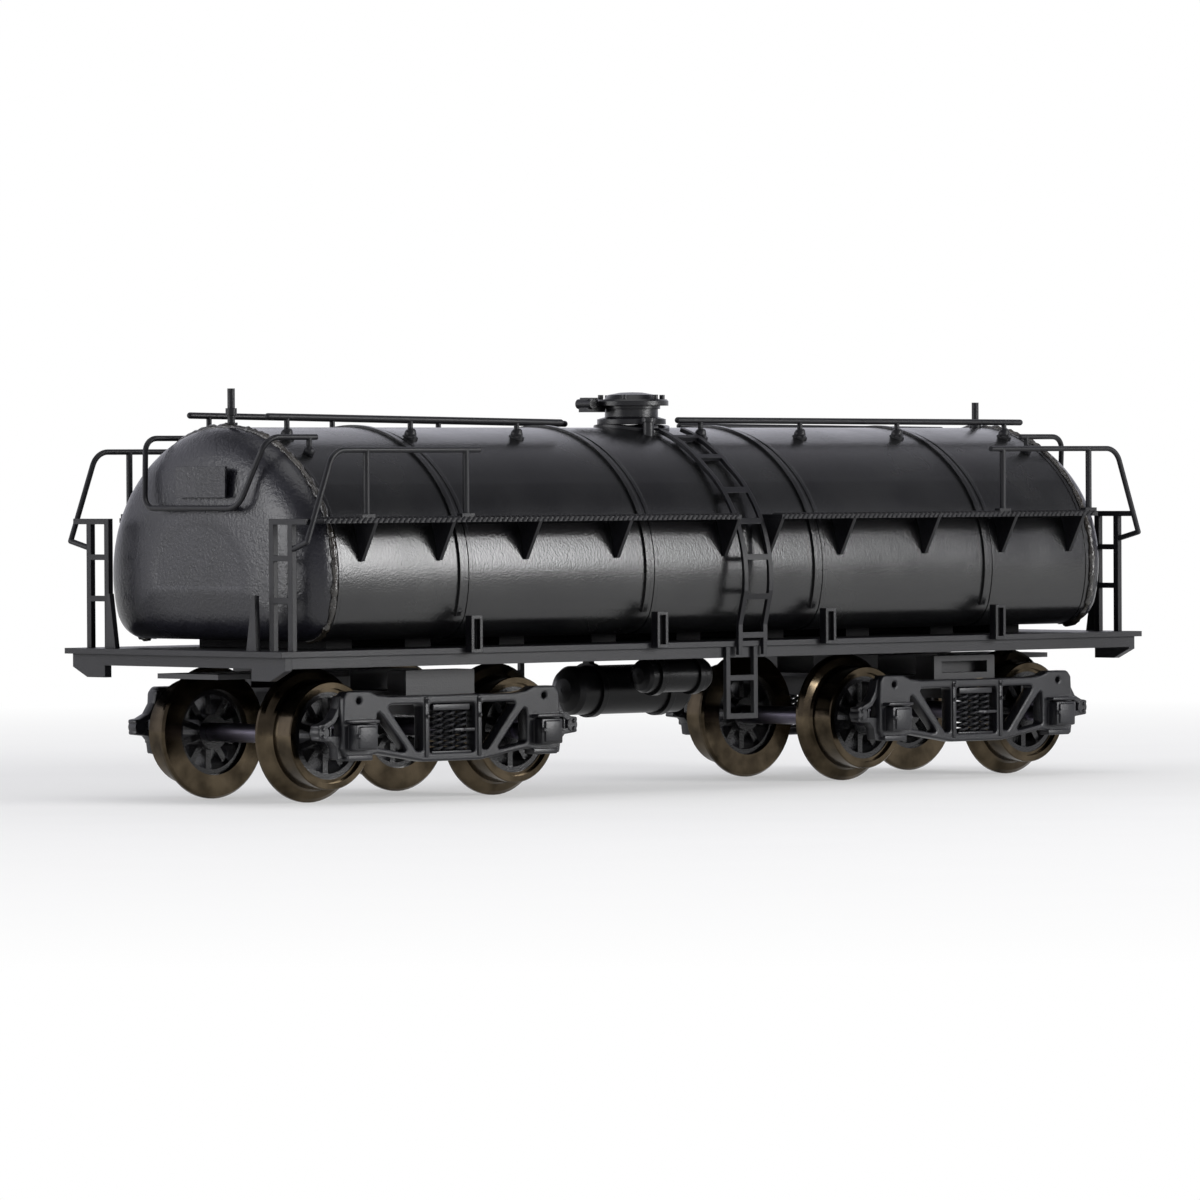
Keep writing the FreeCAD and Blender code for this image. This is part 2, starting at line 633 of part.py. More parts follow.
def end_grab_rails():
    """A bent wire across each tank end that turns over the top and lands on two posts."""
    radius, half, foot_half, low, high = size("wire_rad"), 5.0, 3.85, 15.5, 19.2
    face = size("tank_len") / 2
    stand, shoulder, back, post = -0.5 - face, 0.52 - face, 3.9 - face, 3.4 - face
    spots = [V(back, -half, high), V(shoulder, -half, high), V(stand, -foot_half, low),
             V(stand, foot_half, low), V(shoulder, half, high), V(back, half, high)]
    pieces = [bent_wire(spots, radius, 1.0)]
    for y in (-half * 0.6, half * 0.6):
        pieces.append(Part.makeCylinder(radius, 0.5 - face - stand, V(0.5 - face, y, low), V(-1, 0, 0)))
    surface = height_at(half)
    for y in (-half, half):
        pieces.append(Part.makeCylinder(radius, high - surface + 0.1, V(post, y, surface - 0.1)))
        pieces.append(Part.makeSphere(radius * 2, V(post, y, surface + radius)))
    whole = pieces[0].fuse(pieces[1:]).removeSplitter()
    left = largest(whole.cut([tank_volume(), DOC.getObject("end_left").Shape]))
    right = left.rotated(V(0, 0, 0), V(0, 0, 1), 180)
    node(feature("grab_rails", Part.makeCompound([left, right])), "end_grab_rails")


def largest(shape):
    return max(shape.Solids, key=lambda solid: solid.Volume)


def height_at(out):
    """Height of the tank's top surface at a distance from the middle."""
    return size("top_mid") + math.sqrt(size("top_rad") ** 2 - out ** 2)


def roof_rails():
    """Four straight rails along the tank top, each a little out of level, on posts with round feet."""
    radius, outer = size("wire_rad") * 1.15, size("roof_rail_end")
    surface = height_at(size("roof_rail_out"))
    for label, sy in (("near", -1), ("far", 1)):
        y = sy * size("roof_rail_out")
        rails = []
        for sx, end in ((-1, "left"), (1, "right")):
            inner = size("roof_rail_long" if sx * sy < 0 else "roof_rail_short")
            high, low = size("%s_%s_out" % (label, end)), size("%s_%s_in" % (label, end))
            start, stop = V(sx * inner, y, low), V(sx * outer, y, high)
            run = stop - start
            pieces = [Part.makeCylinder(radius, run.Length, start, run), Part.makeSphere(radius, start),
                      Part.makeSphere(radius, stop)]
            for x in (3.0, 10.6, 18.2, 26.8):
                if x > inner:
                    top = low + (high - low) * (x - inner) / (outer - inner)
                    foot = V(sx * x, y, surface - 0.1)
                    pieces.append(Part.makeCylinder(radius * 0.85, top - foot.z, foot))
                    pieces.append(Part.makeSphere(radius * 1.9, V(sx * x, y, surface + radius)))
            rails.append(largest(pieces[0].fuse(pieces[1:]).removeSplitter().cut(tank_volume())))
        node(feature("roof_" + label, Part.makeCompound(rails)), "roof_rails_" + label)


def roof_posts():
    """Upright pins on the tank top near each end; the left one carries a nut."""
    posts = []
    for label, x, top in (("left", "-tank_len/2+2.27", 21.8), ("right", "tank_len/2-2.5", 21.2)):
        base = "top_mid+top_rad-0.1"
        pieces = [rod("roof_pin_" + label, 0.2, "%g-(%s)" % (top, base), x, 0, base),
                  rod("roof_pin_foot_" + label, 0.34, 0.35, x, 0, base)]
        if label == "left":
            pieces.append(rod("roof_pin_nut", 0.3, 0.38, x, 0, 20.38))
        posts.append(trimmed("roof_post_" + label, fuse("roof_post_whole_" + label, pieces)))
    node(group("roof_post_set", posts), "roof_posts")


def centre_ladder():
    """Flat ladders that follow the tank from the manhole down to the sills, one on each side."""
    gap, thk, wid = size("climb_gap"), 0.22, 0.3
    crown_mid, top = size("top_mid"), size("top_rad")
    begin, join = math.radians(74), math.radians(48)

    def strip(extra, x0):
        """The ladder's line from crown to sill, moved out by the extra."""
        def on_top(angle):
            reach = top + gap + extra
            return V(x0, -reach * math.cos(angle), crown_mid + reach * math.sin(angle))

        wide = size("climb_off") + extra
        shoulder, waist, foot_top = 14.2, 10.8, size("deck_top") + 0.9
        bend = V(x0, -side_at(shoulder) - wide * 0.75, shoulder)
        last = V(x0, -side_at(waist) - wide, waist)
        foot = V(x0, -size("body_wid") / 2 - 0.03 - extra, foot_top)
        low = V(x0, foot.y, size("deck_top") - 0.75)
        return [Part.Arc(on_top(begin), on_top((begin + join) / 2), on_top(join)).toShape(),
                Part.Arc(on_top(join), bend, last).toShape(),
                Part.LineSegment(last, foot).toShape(), Part.LineSegment(foot, low).toShape()]

    def ribbon(x0, x1):
        inner, outer = strip(0, x0), strip(thk, x0)
        ends = [Part.LineSegment(inner[0].Vertexes[0].Point, outer[0].Vertexes[0].Point).toShape(),
                Part.LineSegment(inner[-1].Vertexes[-1].Point, outer[-1].Vertexes[-1].Point).toShape()]
        return Part.Face(Part.Wire(Part.__sortEdges__(inner + outer + ends))).extrude(V(x1 - x0, 0, 0))

    left = size("climb_left")
    right = left + size("climb_wid")
    whole = ribbon(left - wid / 2, right + wid / 2)
    keep = [ribbon(left - wid / 2, left + wid / 2), ribbon(right - wid / 2, right + wid / 2)]
    for angle in (66, 53):
        a = math.radians(angle)
        spot = V(left, -(top + gap) * math.cos(a), crown_mid + (top + gap) * math.sin(a))
        span = Part.makeBox(right - left, 0.32, 1.6, spot - V(0, 0.16, 0.8))
        span.rotate(spot, V(1, 0, 0), 90 - angle)
        keep.append(span.common(whole))
    for z in (16.3, 14.6, 12.65, 10.5, 8.4):
        keep.append(Part.makeBox(right - left, 5, 0.32, V(left, -11.5, z - 0.16)).common(whole))
    near = keep[0].fuse(keep[1:]).removeSplitter()
    far = near.rotated(V(0, 0, 0), V(0, 0, 1), 180)
    node(feature("climb", Part.makeCompound([near, far])), "centre_ladders")


def side_steps():
    """Two-rung steps hung from the sills below the centre ladder."""
    thk, wid = 0.25, 0.3
    steps = []
    for label, sy, sx in (("near", "-", ""), ("far", "", "-")):
        y = "%s(%s+%g)" % (sy, SILL_FACE, thk / 2)
        tall = "deck_top-deck_thk-step_low+0.15"
        pieces = []
        for i, x in enumerate(("step_left", "(step_left+step_wid)")):
            pieces.append(box("step_stile_%s_%d" % (label, i), wid, thk, tall, sx + x, y, "step_low-0.15"))
        middle = sx + "(step_left+step_wid/2)"
        for i, z in enumerate(("step_low-0.15", "step_low+1.93")):
            pieces.append(box("step_rung_%s_%d" % (label, i), "step_wid", thk, 0.3, middle, y, z))
        steps.append(fuse("side_step_" + label, pieces))
    node(group("side_step_set", steps), "side_steps")


def deck_posts():
    """Tapered stake plates on the end decks beside the ladders."""
    solids = []
    x, y, low = size("body_len") / 2 - 0.6, 5.75, size("deck_top")
    for sx, sy in ((-1, -1), (-1, 1), (1, -1), (1, 1)):
        spots = [V(sx * x, sy * (y - 0.35), low), V(sx * x, sy * (y + 0.45), low),
                 V(sx * x, sy * (y + 0.35), low + 2.9), V(sx * x, sy * (y + 0.12), low + 2.9)]
        solids.append(Part.Face(Part.makePolygon(spots + spots[:1])).extrude(V(-sx * 0.3, 0, 0)))
    node(feature("stakes", Part.makeCompound(solids)), "deck_stakes")


# ---- manhole ----

def manhole():
    crown = size("top_mid") + size("top_rad")
    mid_x, mid_y = size("dome_x"), size("dome_y")
    skirt = Part.makeCylinder(size("dome_base_rad") + 0.2, 3, V(mid_x, mid_y, crown - 2.4))
    dish = section_prism(-5, 5, -0.18).cut(section_prism(-6, 6))
    bore = Part.makeCylinder(size("dome_rad") * 0.75, 9, V(mid_x, mid_y, crown - 4))
    node(feature("saddle_flange", largest(skirt.common(dish).cut(bore))), "manhole_flange")
    inner = "dome_rad*0.75"
    low = "top_mid+top_rad+0.18"
    ring = [(inner, 0), ("dome_base_rad", 0), ("dome_base_rad", 0.28), ("dome_rad", 0.4),
            ("dome_rad", "dome_top-(%s)-0.18" % low), ("dome_rad+0.12", "dome_top-(%s)-0.18" % low),
            ("dome_rad+0.12", "dome_top-(%s)" % low), (inner, "dome_top-(%s)" % low)]
    node(turned("neck", ring, x="dome_x", y="dome_y", z=low), "manhole_neck")
    cap = [(0, 0), ("lid_rad", 0), ("lid_rad", "lid_thk*0.7"), ("lid_rad-0.1", "lid_thk"),
           ("lid_rad*0.74", "lid_thk"), ("lid_rad*0.64", "lid_thk+0.25"),
           ("lid_rad*0.3", "lid_thk+0.38"), (0, "lid_thk+0.4")]
    node(turned("lid", cap, x="dome_x", y="dome_y", z="dome_top"), "manhole_lid")
    hinge = [box("hinge_leaf", 1.5, 0.8, 0.35, "dome_x-2.0", "dome_y+0.9", "dome_top-0.35"),
             box("hinge_arm", 0.8, 0.6, 0.45, "dome_x-2.35", "dome_y+0.9", "dome_top"),
             rod("hinge_pin", 0.28, 1.2, "dome_x-2.55", "dome_y+0.3", "dome_top+0.1", "y")]
    clear = [rod("hinge_clear_neck", "dome_rad+0.12", 3, "dome_x", "dome_y", "dome_top-3"),
             rod("hinge_clear_lid", "lid_rad", 3, "dome_x", "dome_y", "dome_top")]
    node(cut("hinge", fuse("hinge_whole", hinge), fuse("hinge_clear", clear)), "manhole_hinge")
    bolts = []
    for i in range(6):
        a = math.radians(60 * i + 35)
        x, y = mid_x + 1.78 * math.cos(a), mid_y + 1.78 * math.sin(a)
        bolts.append(rod("lid_bolt_%d" % i, 0.15, 0.25, x, y, "dome_top+lid_thk"))
    node(group("lid_bolt_set", bolts), "lid_bolts")
    x, y, base = -0.5, -2.75, height_at(2.75) - 0.2
    valve = [rod("valve_body", 0.3, 0.9, x, y, base), rod("valve_cap", 0.38, 0.22, x, y, base + 0.9),
             rod("valve_spout", 0.16, 0.6, x, y, base + 0.6, "x")]
    node(trimmed("valve", fuse("valve_whole", valve)), "relief_valve")


# ---- air reservoirs ----

def reservoirs():
    """Domed-end cylinders slung under the frame, each with two straps."""
    hang = DECK_LOW
    straps = []
    for label, rad, length, y, z in (("long", "tank1_rad", "tank1_len", 0.0, 5.33),
                                     ("short", "tank2_rad", "tank2_len", -4.0, 6.15)):
        curve = [(0, "-%s/2" % length)]
        for a in (30, 60, 90):
            curve.append(("%s*%.4f" % (rad, math.sin(math.radians(a))),
                          "-%s/2+%s*0.45*%.4f" % (length, rad, 1 - math.cos(math.radians(a)))))
        curve += [(a, "-(%s)" % b) for a, b in reversed(curve)]
        node(turned(label + "_reservoir", curve, x=0, y=y, z=z, along="x"), "air_reservoir_" + label)
        for i, at in enumerate(("-%s*0.28" % length, "%s*0.28" % length)):
            ring = cut("strap_ring_%s_%d" % (label, i),
                       rod("strap_out_%s_%d" % (label, i), rad + "+0.16", 0.4, at + "-0.2", y, z, "x"),
                       rod("strap_in_%s_%d" % (label, i), rad, 0.6, at + "-0.3", y, z, "x"))
            lift = "%s-(%g+%s)" % ("(deck_top-deck_thk-centre_deep)" if label == "long" else hang, z, rad)
            stem = box("strap_stem_%s_%d" % (label, i), 0.4, 0.5, lift, at, y, "%g+%s" % (z, rad))
            straps.append(fuse("strap_%s_%d" % (label, i), [ring, stem]))
    node(group("strap_set", straps), "reservoir_straps")


# ---- bogies ----

# Outlines of a bogie side, out from the bogie's middle and up: the side's right half, its openings
# and the lug at each end.
SIDE_OUTLINE = [(0, "chord_top"), (4.4, "chord_top"), (5.3, "chord_top+0.1"), (5.9, "chord_top+0.33"),
                (7.3, "chord_top+0.33"), (7.55, "chord_top+0.1"), (7.65, 4.4), (7.65, 2.9), (7.3, 2.2),
                (5.9, 2.2), (5.75, 2.62), (5.2, 2.62), (2.0, 2.12), (0, 2.12)]
SPRING_WINDOW = [(-1.3, 2.55), (1.3, 2.55), (1.58, 2.8), (1.58, 4.9), (1.3, 5.15), (-1.3, 5.15),
                 (-1.58, 4.9), (-1.58, 2.8)]
UPPER_WINDOW = [(2.12, 4.95), (2.3, 5.12), (4.1, 5.12), (4.25, 4.95), (2.55, 2.95), (2.25, 2.95),
                (2.12, 3.1)]
LOWER_WINDOW = [(4.95, 4.6), (5.15, 4.4), (5.15, 3.05), (4.9, 2.9), (3.3, 2.75), (3.2, 2.9)]
END_LUG = [(7.4, 5.6), (7.62, 5.55), (7.9, 4.6), (8.2, 4.2), (9.0, 4.1), (9.0, 3.4), (7.8, 3.2),
           (7.4, 2.9)]
SPOKES = 10


def bogie(label, sign):
    """Bolster with its coupler tongue and the two side frames."""
    mid = sign + "bogie_off"
    beam = box("beam_" + label, "2*bolster_half", "2*frame_in", "bolster_top-chord_top",
               mid, 0, "chord_top")
    open_side = "-" if label == "right" else ""
    tunnel = box("tunnel_" + label, "2*bolster_half-1.2", 1.4, 0.65, mid, open_side + "(frame_in-0.2)",
                 "bolster_top-0.95")
    scoops = [box("bolster_scoop_%s_%d" % (label, i), "2*bolster_half+1", "scoop_out-scoop_in",
                  "scoop_deep+1", mid, flip + "(scoop_out+scoop_in)/2", "bolster_top-scoop_deep")
              for i, flip in enumerate(("", "-"))]
    pocket = rod("bolster_well_" + label, "pin_head_rad+0.25", 1.4, mid, 0, "chord_top-0.01")
    step = rod("bolster_web_" + label, "pin_head_rad+0.3", "bolster_web", mid, 0, "bolster_top-bolster_web")
    tools = fuse("hollow_tools_" + label, [tunnel] + scoops + [pocket])
    hollow = cut("bolster_hollow_" + label, beam, tools)
    hole = rod("pin_hole_" + label, "pin_rad+run_gap", 3, mid, 0, "chord_top-1")
    bar = box("transom_bar_" + label, 2.0, "2*frame_in", 1.1, mid, 0, "chord_top-1.1")
    floor = box("transom_floor_" + label, 4.6, 5.0, 0.45, mid, 0, "chord_top-1.1")
    well = rod("transom_well_" + label, "pin_head_rad+0.25", 3, mid, 0, "chord_top-2.9")
    transom = cut("transom_" + label, fuse("transom_all_" + label, [bar, floor]), well)
    webbed = cut("bolster_bored_" + label, fuse("bolster_webbed_" + label, [hollow, step, transom]), hole)
    node(webbed, "bogie_bolster_" + label)

    length = "tongue_end-bolster_half"
    arm = box("tongue_arm_" + label, length, "tongue_wid", "tongue_thk",
              "%s(bogie_off+(tongue_end+bolster_half)/2)" % sign, 0, "tongue_low")
    pin = rod("tongue_hole_" + label, "coupler_rad", 2, "%s(bogie_off+coupler_off)" % sign, 0,
              "tongue_low-1")
    node(cut("tongue_" + label, arm, pin), "coupler_tongue_" + label)

    for side, sy in (("near", "-"), ("far", "")):
        tag = "%s_%s" % (label, side)
        points = [(("%s+(%s)" % (mid, a)), b) for a, b in SIDE_OUTLINE]
        points += [(("%s-(%s)" % (mid, a)), b) for a, b in reversed(SIDE_OUTLINE[1:-1])]
        windows = [SPRING_WINDOW]
        for flip in (1, -1):
            windows += [[(a * flip, b) for a, b in window] for window in (UPPER_WINDOW, LOWER_WINDOW)]
        holes = [[("%s+(%g)" % (mid, a), b) for a, b in hole] for hole in windows]
        body = plate("side_%s" % tag, "XZ_Plane", points, "frame_out-frame_in", 0, holes)
        bind(body, "Placement.Base.y", ("frame_out*-1+(frame_out-frame_in)") if sy else "frame_out")
        bore_start = "-stub_end-0.1" if sy else "frame_in"
        bores = [rod("journal_hole_%s_%d" % (tag, i), "stub_rad+run_gap", "stub_end+0.1-frame_in",
                     "%s%saxle_off" % (mid, way), bore_start, "flange_rad", "y")
                 for i, way in enumerate("-+")]
        lugs = []
        for i, way in enumerate("-+"):
            points = [("%s%s%g" % (mid, way, a), b) for a, b in END_LUG]
            tab = plate("end_lug_%s_%d" % (tag, i), "XZ_Plane", points, 0.6, 0)
            bind(tab, "Placement.Base.y", "%s(frame_in+0.15)%s" % (sy, "" if sy else "+0.6"))
            lugs.append(tab)
        boxes = []
        deep = "box_out-frame_out"
        for i, way in enumerate("-+"):
            x = "%s%saxle_off" % (mid, way)
            boxes.append(box("axlebox_%s_%d" % (tag, i), "box_size", deep + "+0.1", "box_size", x,
                             "%s(frame_out-0.1+(%s+0.1)/2)" % (sy, deep), "flange_rad-box_size/2"))
            lip = "((%s)*0.7+0.1)" % deep
            boxes.append(box("axlebox_lip_%s_%d" % (tag, i), "box_size+0.3", lip, 0.18, x,
                             "%s(frame_out-0.1+%s/2)" % (sy, lip), "flange_rad+box_size/2-0.02"))
        whole = fuse("side_whole_" + tag, [body] + lugs + boxes)
        node(cut("side_bored_" + tag, whole, fuse("journal_holes_" + tag, bores)), "side_frame_" + tag)


def bogie_springs(label, sign):
    """Coil spring groups that stand in the side frames' middle windows."""
    mid = sign + "bogie_off"
    springs = []
    for side, sy in (("near", "-"), ("far", "")):
        y = "%s((frame_in+frame_out)/2)" % sy
        for k, dx in enumerate((-0.85, 0, 0.85)):
            springs.append(rod("spring_%s_%s_%d" % (label, side, k), 0.36, 2.6,
                               "%s+(%g)" % (mid, dx), y, 2.55))
    node(group("spring_set_" + label, springs), "bogie_springs_" + label)


def wheelset(name, x):
    """Axle, two tyres and two spoked wheel centres."""
    spoke_wid, spoke_in = 0.34, 0.8
    half = [(0, "stub_end"), ("stub_rad*0.4", "stub_end"), ("stub_rad", "stub_end-0.35"),
            ("stub_rad", "wheel_front+0.1"), ("axle_rad", "wheel_front+0.1")]
    points = half + [(a, "-(%s)" % b) for a, b in reversed(half)]
    axle = turned("axle_" + name, points, x=x, y=0, z="flange_rad", along="y")
    node(axle, "axle_" + name)
    tyre = [("tyre_in", "wheel_back"), ("flange_rad-0.12", "wheel_back"), ("flange_rad", "wheel_back+0.14"),
            ("flange_rad", "wheel_back+0.3"), ("flange_rad-0.2", "wheel_back+0.48"),
            ("tread_rad+0.12", "wheel_back+flange_thk"), ("tread_rad+0.02", "wheel_back+flange_thk+0.15"),
            ("tread_rad", "wheel_front-0.06"), ("tread_rad-0.05", "wheel_front"),
            ("tyre_face", "wheel_front"), ("tyre_face", "wheel_front-0.2"), ("tyre_in", "wheel_front-0.2")]
    tyres, centres = [], []
    for side, flip in (("near", "-"), ("far", "")):
        tag = "%s_%s" % (name, side)
        tyres.append(turned("tyre_" + tag, [(a, "%s(%s)" % (flip, b)) for a, b in tyre],
                            x=x, y=0, z="flange_rad", along="y"))
        rim = [("tyre_in-0.3", "wheel_back+0.25"), ("tyre_in", "wheel_back+0.25"),
               ("tyre_in", "wheel_front-0.25"), ("tyre_in-0.3", "wheel_front-0.25")]
        hub = [("axle_rad", "wheel_back+0.1"), (0.95, "wheel_back+0.1"), (0.95, "wheel_front-0.15"),
               ("axle_rad", "wheel_front-0.15")]
        parts = [turned(part + tag, [(a, "%s(%s)" % (flip, b)) for a, b in ring],
                        x=x, z="flange_rad", along="y")
                 for part, ring in (("rim_", rim), ("hub_", hub))]
        centres.append((flip, parts))
    node(group("tyre_set_" + name, tyres), "tyres_" + name)
    wheels = []
    for flip, parts in centres:
        DOC.recompute()
        sy = -1 if flip else 1
        back, front = size("wheel_back") + 0.55, size("wheel_front") - 0.5
        body = parts[0].Shape.fuse(parts[1].Shape)
        centre = V(value(x), 0, size("flange_rad"))
        for k in range(SPOKES):
            bar = Part.makeBox(spoke_wid, front - back, size("tyre_in") - 0.15 - spoke_in,
                               V(-spoke_wid / 2, min(sy * back, sy * front), spoke_in))
            bar.rotate(V(0, 0, 0), V(0, 1, 0), 360 / SPOKES * k)
            bar.translate(centre)
            body = body.fuse(bar)
        wheels.append(body.removeSplitter())
        for part in parts:
            DOC.removeObject(part.Name)
    node(feature("centres_" + name, Part.makeCompound(wheels)), "wheel_centres_" + name)


deck()
side_sills()
headstocks()
centre_sill()
cross_bearers()
pivot_screws()
saddles()
tank_shell()
tank_bands()
band_anchors()
end_plates()
walkways()
walkway_brackets()
corner_ladders()
handrails()
end_grab_rails()
roof_rails()
roof_posts()
centre_ladder()
side_steps()
deck_posts()
manhole()
reservoirs()
for end, side_sign in (("left", "-"), ("right", "")):
    bogie(end, side_sign)
    bogie_springs(end, side_sign)
    for order, way in (("a", "-"), ("b", "+")):
        wheelset("%s_%s" % (end, order), "%sbogie_off%saxle_off" % (side_sign, way))
DOC.recompute()

for item in DOC.Objects:
    if "Invalid" in item.State or "Error" in item.State:
        raise RuntimeError("failed to rebuild: %s %s" % (item.Name, item.State))
os.makedirs("parts", exist_ok=True)
for item in NODES:
    shape = item.Shape
    if shape.isNull() or not shape.isValid() or not shape.Solids:
        raise RuntimeError("bad shape: " + item.Label)
    shape.exportStep("parts/%s.step" % item.Label)
print(len(NODES), "nodes")
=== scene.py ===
import math
import random

import bmesh
import bpy
from bpy.props import FloatProperty, FloatVectorProperty, IntProperty, PointerProperty
from mathutils import Matrix, Vector


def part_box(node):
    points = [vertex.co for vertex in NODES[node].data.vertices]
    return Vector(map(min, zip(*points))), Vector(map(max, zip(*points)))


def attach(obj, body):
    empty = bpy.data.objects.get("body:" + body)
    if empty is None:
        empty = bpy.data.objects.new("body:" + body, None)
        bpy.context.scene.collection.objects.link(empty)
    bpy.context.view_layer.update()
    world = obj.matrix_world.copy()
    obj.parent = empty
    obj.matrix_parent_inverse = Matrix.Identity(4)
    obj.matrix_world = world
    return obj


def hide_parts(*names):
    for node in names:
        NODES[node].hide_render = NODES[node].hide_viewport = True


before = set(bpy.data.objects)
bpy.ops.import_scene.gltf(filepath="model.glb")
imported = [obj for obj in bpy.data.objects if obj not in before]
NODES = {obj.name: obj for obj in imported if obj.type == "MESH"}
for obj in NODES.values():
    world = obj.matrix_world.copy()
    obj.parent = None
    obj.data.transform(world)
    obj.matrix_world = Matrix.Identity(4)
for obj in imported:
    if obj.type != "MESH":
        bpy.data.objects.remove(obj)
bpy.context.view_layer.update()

bl_info = {
    "name": "Model tank wagon",
    "version": (1, 0, 0),
    "blender": (4, 5, 0),
    "location": "View3D > Sidebar > Tank wagon",
    "description": "Finishes and small fittings for an N gauge tank wagon built on its CAD frame",
    "category": "Object",
}

MM = 0.001
EDGE_BUILD = 0.05  # Paint rounds every sharp edge by about this much, in millimetres.

ROOT = "wagon_body"
SIDES = (-1, 1)

# Tank section, in millimetres: a crown arc, a tighter shoulder arc on each side and a round bottom corner.
CROWN_MID, CROWN_RAD = 10.45, 9.3
SHOULDER_RAD, SHOULDER_OFF = 7.0, 1.7
FLOOR_RAD, TANK_BOTTOM = 2.0, 8.55
BAND_SPOTS = (-19.5, -6.15, 6.45, 19.7)
SEAM = 28.1
PIVOT_OFF, AXLE_OFF = 19.6, 6.5
LADDER_GAP = (-0.30, 2.75)
RAIL_POSTS = (20.05, 26.95)
ROOF_RAIL_OUT, ROOF_RAIL_SHORT = 3.2, 7.4
ROOF_FEET = (3.0, 10.6, 18.2, 26.8)
LAP_FROM, LAP_TO = 0.55, 0.8


def linear(code):
    """An sRGB hex colour as linear red, green and blue."""
    channels = [int(code[i:i + 2], 16) / 255 for i in (1, 3, 5)]
    return tuple(c / 12.92 if c <= 0.04045 else ((c + 0.055) / 1.055) ** 2.4 for c in channels)


def opaque(colour):
    return (*tuple(colour)[:3], 1.0)


# ---- shader helpers ----

def add(tree, kind, settings=(), links=()):
    """Adds a node, sets its properties or input values, and links its inputs."""
    node = tree.nodes.new(kind)
    for key, value in dict(settings).items():
        if isinstance(key, int) or key in node.inputs:
            node.inputs[key].default_value = value
        else:
            setattr(node, key, value)
    for key, source in dict(links).items():
        tree.links.new(source, node.inputs[key])
    return node


def fresh_material(name):
    """A named material with an empty node tree, its output and a shader."""
    material = bpy.data.materials.new(name)
    material.use_nodes = True
    tree = material.node_tree
    tree.nodes.clear()
    shader = tree.nodes.new("ShaderNodeBsdfPrincipled")
    out = tree.nodes.new("ShaderNodeOutputMaterial")
    tree.links.new(shader.outputs["BSDF"], out.inputs["Surface"])
    return material, tree, shader


def per_mm(size):
    """Noise scale that gives features of this size in millimetres, on coordinates in metres."""
    return 1.0 / (size * MM)


def sprayed_enamel(name, colour, haze, grain, rough, bump, spec=0.5):
    """Satin enamel sprayed on brass or white metal.

    The spray dries to a fine pebble that scatters highlights, with a faint dusty haze in soft patches.
    """
    material, tree, shader = fresh_material(name)
    place = add(tree, "ShaderNodeTexCoord").outputs["Object"]
    patch = add(tree, "ShaderNodeTexNoise", {"Scale": per_mm(5.0), "Detail": 3.0, "Roughness": 0.6},
                {"Vector": place})
    speck = add(tree, "ShaderNodeTexNoise", {"Scale": per_mm(grain * 0.8), "Detail": 2.0, "Roughness": 0.7},
                {"Vector": place})
    patch_ramp = add(tree, "ShaderNodeMapRange",
                     {"From Min": 0.35, "From Max": 0.7, "To Min": 0.0, "To Max": 0.55},
                     {"Value": patch.outputs["Fac"]})
    speck_ramp = add(tree, "ShaderNodeMapRange",
                     {"From Min": 0.5, "From Max": 0.75, "To Min": 0.0, "To Max": 0.5},
                     {"Value": speck.outputs["Fac"]})
    both = add(tree, "ShaderNodeMath", {"operation": "MAXIMUM"},
               {0: patch_ramp.outputs["Result"], 1: speck_ramp.outputs["Result"]})
    tone = add(tree, "ShaderNodeMix", {"data_type": "RGBA", 6: opaque(colour), 7: opaque(haze)},
               {0: both.outputs[0]})
    tree.links.new(tone.outputs[2], shader.inputs["Base Color"])
    sheen = add(tree, "ShaderNodeMapRange", {"From Min": 0.3, "From Max": 0.7, "To Min": rough - 0.05,
                                             "To Max": rough + 0.07}, {"Value": patch.outputs["Fac"]})
    tree.links.new(sheen.outputs["Result"], shader.inputs["Roughness"])
    pebble = add(tree, "ShaderNodeTexNoise", {"Scale": per_mm(grain), "Detail": 3.0, "Roughness": 0.6},
                 {"Vector": place})
    soft_edge = add(tree, "ShaderNodeBevel", {"samples": 4, "Radius": EDGE_BUILD * MM})
    relief = add(tree, "ShaderNodeBump", {"Strength": bump, "Distance": grain * MM * 0.35},
                 {"Height": pebble.outputs["Fac"], "Normal": soft_edge.outputs["Normal"]})
    tree.links.new(relief.outputs["Normal"], shader.inputs["Normal"])
    shader.inputs["Specular IOR Level"].default_value = spec
    return material


